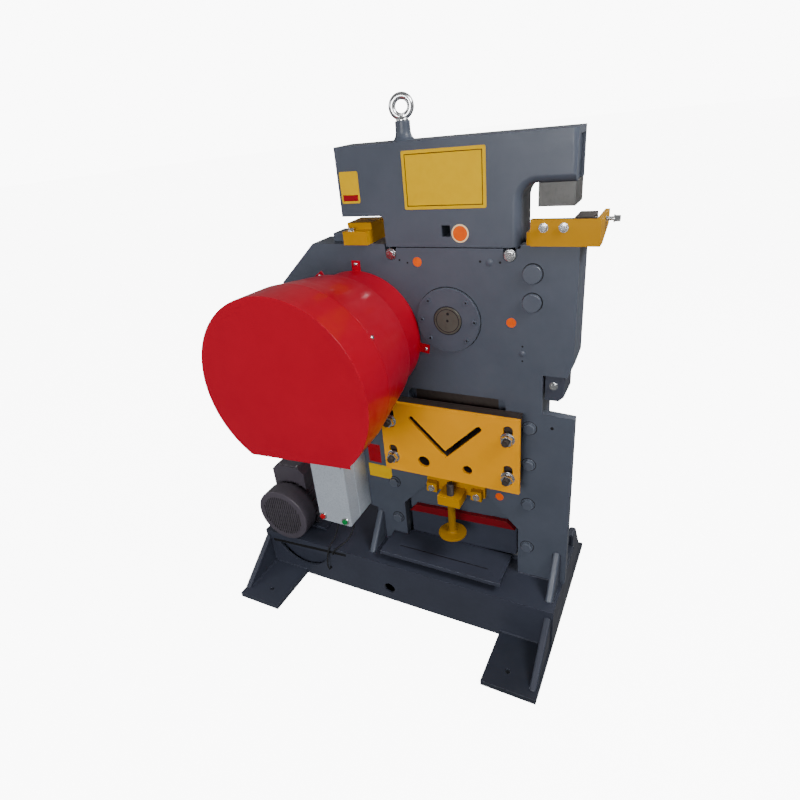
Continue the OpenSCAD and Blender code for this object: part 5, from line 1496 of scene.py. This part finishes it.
@dataclass
class Drive(Unit):
    """Shafts, gear, flywheel, pulleys and belts inside the covers."""

    nose_y: float = -12.0
    nose_shade_ring: tuple[float, float] = (36.5, 38.5)
    nose_holes: tuple[tuple[float, float, float], ...] = ((0.0, 0.0, 4.2), (2.0, 23.0, 4.6))

    def build(self) -> list[bpy.types.Object]:
        """The drive's pieces."""
        made = [dress("eccentric_shaft", Finish.SHAFT, Body.ECCENTRIC, Slot.SHAFT_STEEL, Round(1.5, 2)),
                self.shaft_end_shade()]
        made += [repaint(n, f) for n, f in (
            ("drive_shaft", Finish.SHAFT), ("main_gear", Finish.IRON), ("flywheel", Finish.IRON),
            ("drive_pulley", Finish.IRON), ("motor_rotor", Finish.SHAFT), ("motor_pulley", Finish.IRON),
            ("drive_belts", Finish.RUBBER))]
        return made

    def shaft_end_shade(self) -> bpy.types.Object:
        """Black ring and discs of painted shade in the turned groove, centre hole and offset hole of the
        shaft's end.
        """
        shape = Shape().collar(at(0, self.nose_y, 0), FRONT, ring(*self.nose_shade_ring, -0.4, 0.15), 64)
        for x, z, r in self.nose_holes:
            shape.lathe(at(x, self.nose_y, z), FRONT, disc(r, -0.5, 0.12), 24)
        return add("shaft_end_shade_marks", shape, Finish.BLACK, Body.ECCENTRIC)


@dataclass
class Motor(Unit):
    """Foot motor with fan cover and terminal box."""

    axis_x: float = -733.0
    axis_z: float = 313.0
    front: float = -165.0
    cover_r: float = 120.0
    lid: tuple[Point, Point] = ((-800.0, -56.0, 493.0), (-693.0, 52.0, 498.0))
    lid_screws: tuple[tuple[float, float], ...] = ((-792.0, -48.0), (-792.0, 44.0), (-701.0, -48.0),
                                                   (-701.0, 44.0))
    foot_screws: tuple[tuple[float, float], ...] = ((-801.0, -24.0), (-801.0, 99.0), (-665.0, -24.0),
                                                    (-665.0, 99.0))
    foot_top: float = 225.0

    def build(self) -> list[bpy.types.Object]:
        """The motor's pieces."""
        grey = (Finish.MOTOR, Body.FRAME, Slot.MOTOR_PAINT)
        made = [dress("motor_body", *grey, Round(0.9, 1)),
                dress("fan_cover", *grey, Round(6.5, 4, self.on_rim), Round(0.4, 1)),
                dress("terminal_box", *grey, Round(7.0, 4))]
        made += [self.box_lid(), self.screws()]
        return made

    def on_rim(self, first: Vector, last: Vector) -> bool:
        """Whether an edge is on the fan cover's outer front rim."""
        least = min(math.hypot(p.x - self.axis_x, p.z - self.axis_z) for p in (first, last))
        return max(first.y, last.y) < self.front + 0.4 and least > self.cover_r - 1

    def box_lid(self) -> bpy.types.Object:
        """Lid of the terminal box."""
        shape = Shape().block(*self.lid, 2.0, 3)
        return add("terminal_lid", shape, Finish.MOTOR, Body.FRAME)

    def screws(self) -> bpy.types.Object:
        """Screws of the terminal box's lid and of the motor feet."""
        shape = Shape()
        head = [(0, -0.6), (4.4, -0.6), (4.4, 1.2), (3.4, 2.3), (1.0, 2.4), (0.9, 1.4), (0, 1.4)]
        for x, y in self.lid_screws:
            shape.lathe(Vector((x, y, self.lid[1][2])), UP, head, 20)
        for x, y in self.foot_screws:
            shape.hexagon(Vector((x, y, self.foot_top)), UP, 9.0, 6.0, 15.0)
        return add("motor_screws", shape, Finish.ZINC, Body.FRAME)


@dataclass
class SwitchBox(Unit):
    """Switch box, its two buttons, lid screws and the leads into the base."""

    stop_x: float = -518.0
    start_x: float = -414.0
    button_z: float = 371.0
    face_y: float = -159.0
    lid_screw_x: tuple[float, float] = (-526.0, -396.0)
    lid_screw_z: float = 627.0
    lip: tuple[Point, Point] = ((-387.0, -92.0, 360.0), (-384.6, -88.5, 628.0))
    cap_depth: float = 12.0
    lead_r: float = 3.2
    steps: int = 10
    routes: tuple[tuple[Point, ...], ...] = (
        ((-488, -110, 347), (-488, -110, 334), (-488, -110, 321), (-489, -114, 293), (-500, -133, 245),
         (-522, -160, 195), (-534, -172, 125), (-535, -166, 84), (-535, -156, 80), (-535, -144, 80)),
        ((-412, -110, 347), (-412, -110, 334), (-412, -110, 321), (-414, -115, 300), (-434, -139, 254),
         (-478, -166, 214), (-500, -170, 186), (-505, -160, 171), (-506, -144, 170)))

    def build(self) -> list[bpy.types.Object]:
        """The switch box's pieces."""
        made = [dress("switch_box", Finish.BOX, Body.FRAME, Slot.BOX_PAINT, Round(2.2, 3))]
        made += [self.bezels(), self.lid_screws(), self.lid_lip(), self.leads()]
        made.append(self.button("stop_cap", self.stop_x, Finish.RED_CAP, Body.STOP, Slot.RED_BUTTON,
                                "stop_button"))
        made.append(self.button("start_cap", self.start_x, Finish.GREEN_CAP, Body.START,
                                Slot.GREEN_BUTTON, "start_button"))
        return made

    def bezels(self) -> bpy.types.Object:
        """Bright rings round the buttons."""
        shape = Shape()
        bezel = [(11.6, 0), (17, 0), (17, 2.2), (15.6, 4.4), (13.2, 5.2), (11.6, 5.0)]
        for x in (self.stop_x, self.start_x):
            shape.collar(Vector((x, self.face_y, self.button_z)), FRONT, bezel, 44)
        return add("button_rings", shape, Finish.ZINC, Body.FRAME)

    def lid_screws(self) -> bpy.types.Object:
        """Lid screws at the front's upper corners."""
        shape = Shape()
        head = [(0, -0.5), (4.6, -0.5), (4.6, 1.0), (3.6, 2.0), (1.0, 2.2), (0.9, 1.2), (0, 1.2)]
        for x in self.lid_screw_x:
            shape.lathe(Vector((x, self.face_y, self.lid_screw_z)), FRONT, head, 20)
        return add("lid_screws", shape, Finish.ZINC, Body.FRAME)

    def lid_lip(self) -> bpy.types.Object:
        """Bright lip of the lid along the box's right side."""
        shape = Shape().block(*self.lip, 0.8, 2)
        return add("lid_lip", shape, Finish.BOX, Body.FRAME)

    def button(self, name: str, x: float, finish: Finish, body: Body, slot: Slot,
               node: str) -> bpy.types.Object:
        """One domed push button.

        Args:
            name: name of the piece.
            x: its place across.
            finish: its finish.
            body: its body.
            slot: its material slot, not used.
            node: solid that it replaces.

        Returns:
            The piece.
        """
        dome = [(0, 0), (11, 0), (11, 21.0), (10.4, 22.6), (8.6, 23.6), (4.5, 24.0), (0, 24.0)]
        base = Vector((x, self.face_y + self.cap_depth, self.button_z))
        shape = Shape().lathe(base, FRONT, dome, 44)
        return add(name, shape, finish, body, (node,))

    def route(self, points: Sequence[Point]) -> list[Vector]:
        """Smooth curve through a lead's points, as in the part's source.

        Args:
            points: the route's points.

        Returns:
            Close points along the curve.
        """
        way = [Vector(p) for p in points]
        line: list[Vector] = []
        for i in range(len(way) - 1):
            a, b = way[max(i - 1, 0)], way[i]
            c, d = way[i + 1], way[min(i + 2, len(way) - 1)]
            for k in range(self.steps):
                t = k / self.steps
                line.append(0.5 * (2 * b + (c - a) * t + (2 * a - 5 * b + 4 * c - d) * t ** 2
                                   + (3 * b - a - 3 * c + d) * t ** 3))
        return [*line, way[-1]]

    def leads(self) -> bpy.types.Object:
        """Two black leads, round and smooth, along the solids' routes."""
        curve = bpy.data.curves.new("lead_line", "CURVE")
        curve.dimensions = "3D"
        curve.bevel_depth = self.lead_r
        curve.bevel_resolution = 5
        curve.use_fill_caps = True
        for points in self.routes:
            line = self.route(points)
            spline = curve.splines.new("POLY")
            spline.points.add(len(line) - 1)
            for spot, place in zip(spline.points, line):
                spot.co = (*place, 1.0)
        holder = bpy.data.objects.new("lead_line", curve)
        bpy.context.scene.collection.objects.link(holder)
        graph = bpy.context.evaluated_depsgraph_get()
        tube = bpy.data.meshes.new_from_object(holder.evaluated_get(graph))
        bpy.data.objects.remove(holder)
        bpy.data.curves.remove(curve)
        shape = Shape()
        shape.bm.from_mesh(tube)
        bpy.data.meshes.remove(tube)
        bmesh.ops.remove_doubles(shape.bm, verts=shape.bm.verts, dist=1e-3)
        bmesh.ops.recalc_face_normals(shape.bm, faces=shape.bm.faces)
        return add("switch_lead_tubes", shape, Finish.RUBBER, Body.FRAME, ("switch_leads",))


@dataclass(frozen=True)
class SoftLight:
    """A rectangular studio light, in row metres."""

    name: str
    place: Point
    aim: Point
    size: tuple[float, float]
    power: float

    def hang(self) -> bpy.types.Object:
        """The light, hung and aimed."""
        data = bpy.data.lights.new(self.name, "AREA")
        data.shape = "RECTANGLE"
        data.size, data.size_y = self.size
        data.energy = self.power
        light = bpy.data.objects.new(self.name, data)
        light.location = self.place
        ahead = Vector(self.aim) - Vector(self.place)
        light.rotation_euler = ahead.to_track_quat("-Z", "Y").to_euler()
        bpy.context.scene.collection.objects.link(light)
        return light


@dataclass
class Studio:
    """Pale floor and wall, soft light and the camera at the photograph's angle, in row metres."""

    azimuth: float = 30.7674
    elevation: float = 27.4745
    roll: float = -6.7428
    place: Point = (0.896, -1.626, 1.795)
    lens: float = 25.53
    shift: tuple[float, float] = (0.025, 0.00625)
    sensor: float = 36.0
    far_clip: float = 200.0
    floor_r: float = 40.0
    floor_sides: int = 96
    wall_h: float = 30.0
    shade_inset: float = 0.005
    sky: float = 0.24
    lights: tuple[SoftLight, ...] = field(default_factory=lambda: (
        SoftLight("key_light", (0.5, -4.2, 2.0), (0.05, 0.0, 1.1), (1.8, 1.4), 138.0),
        SoftLight("right_light", (2.2, -0.5, 2.9), (-0.1, -0.3, 1.2), (1.0, 1.0), 76.0),
        SoftLight("left_light", (-3.2, -1.6, 2.6), (-0.1, 0.0, 1.0), (1.6, 1.6), 24.0),
        SoftLight("rear_light", (1.4, 3.4, 2.6), (0.0, 0.0, 0.9), (1.6, 1.6), 40.0)))

    def build(self) -> None:
        """Sets up floor, lights, sky and camera."""
        self.sweep()
        for light in self.lights:
            light.hang()
        world = bpy.data.worlds.new("studio_sky")
        world.use_nodes = True
        back = world.node_tree.nodes["Background"]
        back.inputs["Color"].default_value = (1.0, 1.0, 1.0, 1.0)
        back.inputs["Strength"].default_value = self.sky
        bpy.context.scene.world = world
        self.camera()

    def sweep(self) -> None:
        """A wide pale floor and a far wall round it, and black sheets of painted shade on the floor under
        the beam and feet, none part of the object.
        """
        floor = bmesh.new()
        bmesh.ops.create_circle(floor, cap_ends=True, segments=self.floor_sides, radius=self.floor_r)
        bmesh.ops.translate(floor, verts=floor.verts, vec=(0, 0, -MM))
        self.set_up("studio_floor", floor, Finish.FLOOR)
        wall = bmesh.new()
        bmesh.ops.create_circle(wall, cap_ends=False, segments=self.floor_sides, radius=self.floor_r)
        made = bmesh.ops.extrude_edge_only(wall, edges=wall.edges)
        tops = [v for v in made["geom"] if isinstance(v, bmesh.types.BMVert)]
        bmesh.ops.translate(wall, verts=tops, vec=(0, 0, self.wall_h))
        self.set_up("studio_wall", wall, Finish.WALL)
        # black sheets under the beam and feet: painted shade where holes look through to the bright floor
        shade = bmesh.new()
        for node in ("base_beam", "foot_right", "foot_left"):
            low, high = (Vector(p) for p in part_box(node))
            made = bmesh.ops.create_grid(shade, x_segments=1, y_segments=1, size=0.5)
            span, middle = high - low, (high + low) / 2
            inset = 2 * self.shade_inset
            bmesh.ops.scale(shade, verts=made["verts"], vec=(span.x - inset, span.y - inset, 1.0))
            bmesh.ops.translate(shade, verts=made["verts"], vec=(middle.x, middle.y, -MM / 2))
        self.set_up("floor_shade", shade, Finish.SHADE)

    def set_up(self, name: str, bm: bmesh.types.BMesh, finish: Finish) -> None:
        """Makes a part of the studio that neither lights the object nor shows in its gloss.

        Args:
            name: name of the part.
            bm: its mesh, freed here.
            finish: its finish.
        """
        mesh = bpy.data.meshes.new(name)
        bm.to_mesh(mesh)
        bm.free()
        mesh.materials.append(finish.material())
        part = bpy.data.objects.new(name, mesh)
        part.visible_diffuse = False
        part.visible_glossy = False
        bpy.context.scene.collection.objects.link(part)

    def camera(self) -> None:
        """The camera, set from the photograph's viewing angle."""
        a, e, r = (math.radians(v) for v in (self.azimuth, self.elevation, self.roll))
        back = Vector((math.sin(a) * math.cos(e), -math.cos(a) * math.cos(e), math.sin(e)))
        right = Vector((math.cos(a), math.sin(a), 0.0))
        up = back.cross(right)
        side = right * math.cos(r) + up * math.sin(r)
        over = up * math.cos(r) - right * math.sin(r)
        data = bpy.data.cameras.new("photo_camera")
        data.lens = self.lens
        data.sensor_width = self.sensor
        data.sensor_fit = "HORIZONTAL"
        data.shift_x, data.shift_y = self.shift
        data.clip_end = self.far_clip
        camera = bpy.data.objects.new("photo_camera", data)
        turn = Matrix((side, over, back)).transposed().to_4x4()
        camera.matrix_world = Matrix.Translation(self.place) @ turn
        bpy.context.scene.collection.objects.link(camera)
        bpy.context.scene.camera = camera


def main() -> None:
    """Builds the studio and every sub-assembly, and logs each piece."""
    logging.basicConfig(level=logging.INFO, format="%(name)s: %(message)s")
    Studio().build()
    units = (Base(), Frame(), Ram(), PunchDie(), SectionShear(), HoldDown(), Guard(), Drive(), Motor(),
             SwitchBox())
    for unit in units:
        for piece in unit.build():
            LOG.info("%s: %s, %d faces", type(unit).__name__, piece.name, len(piece.data.polygons))


if __name__ == "__main__":
    main()
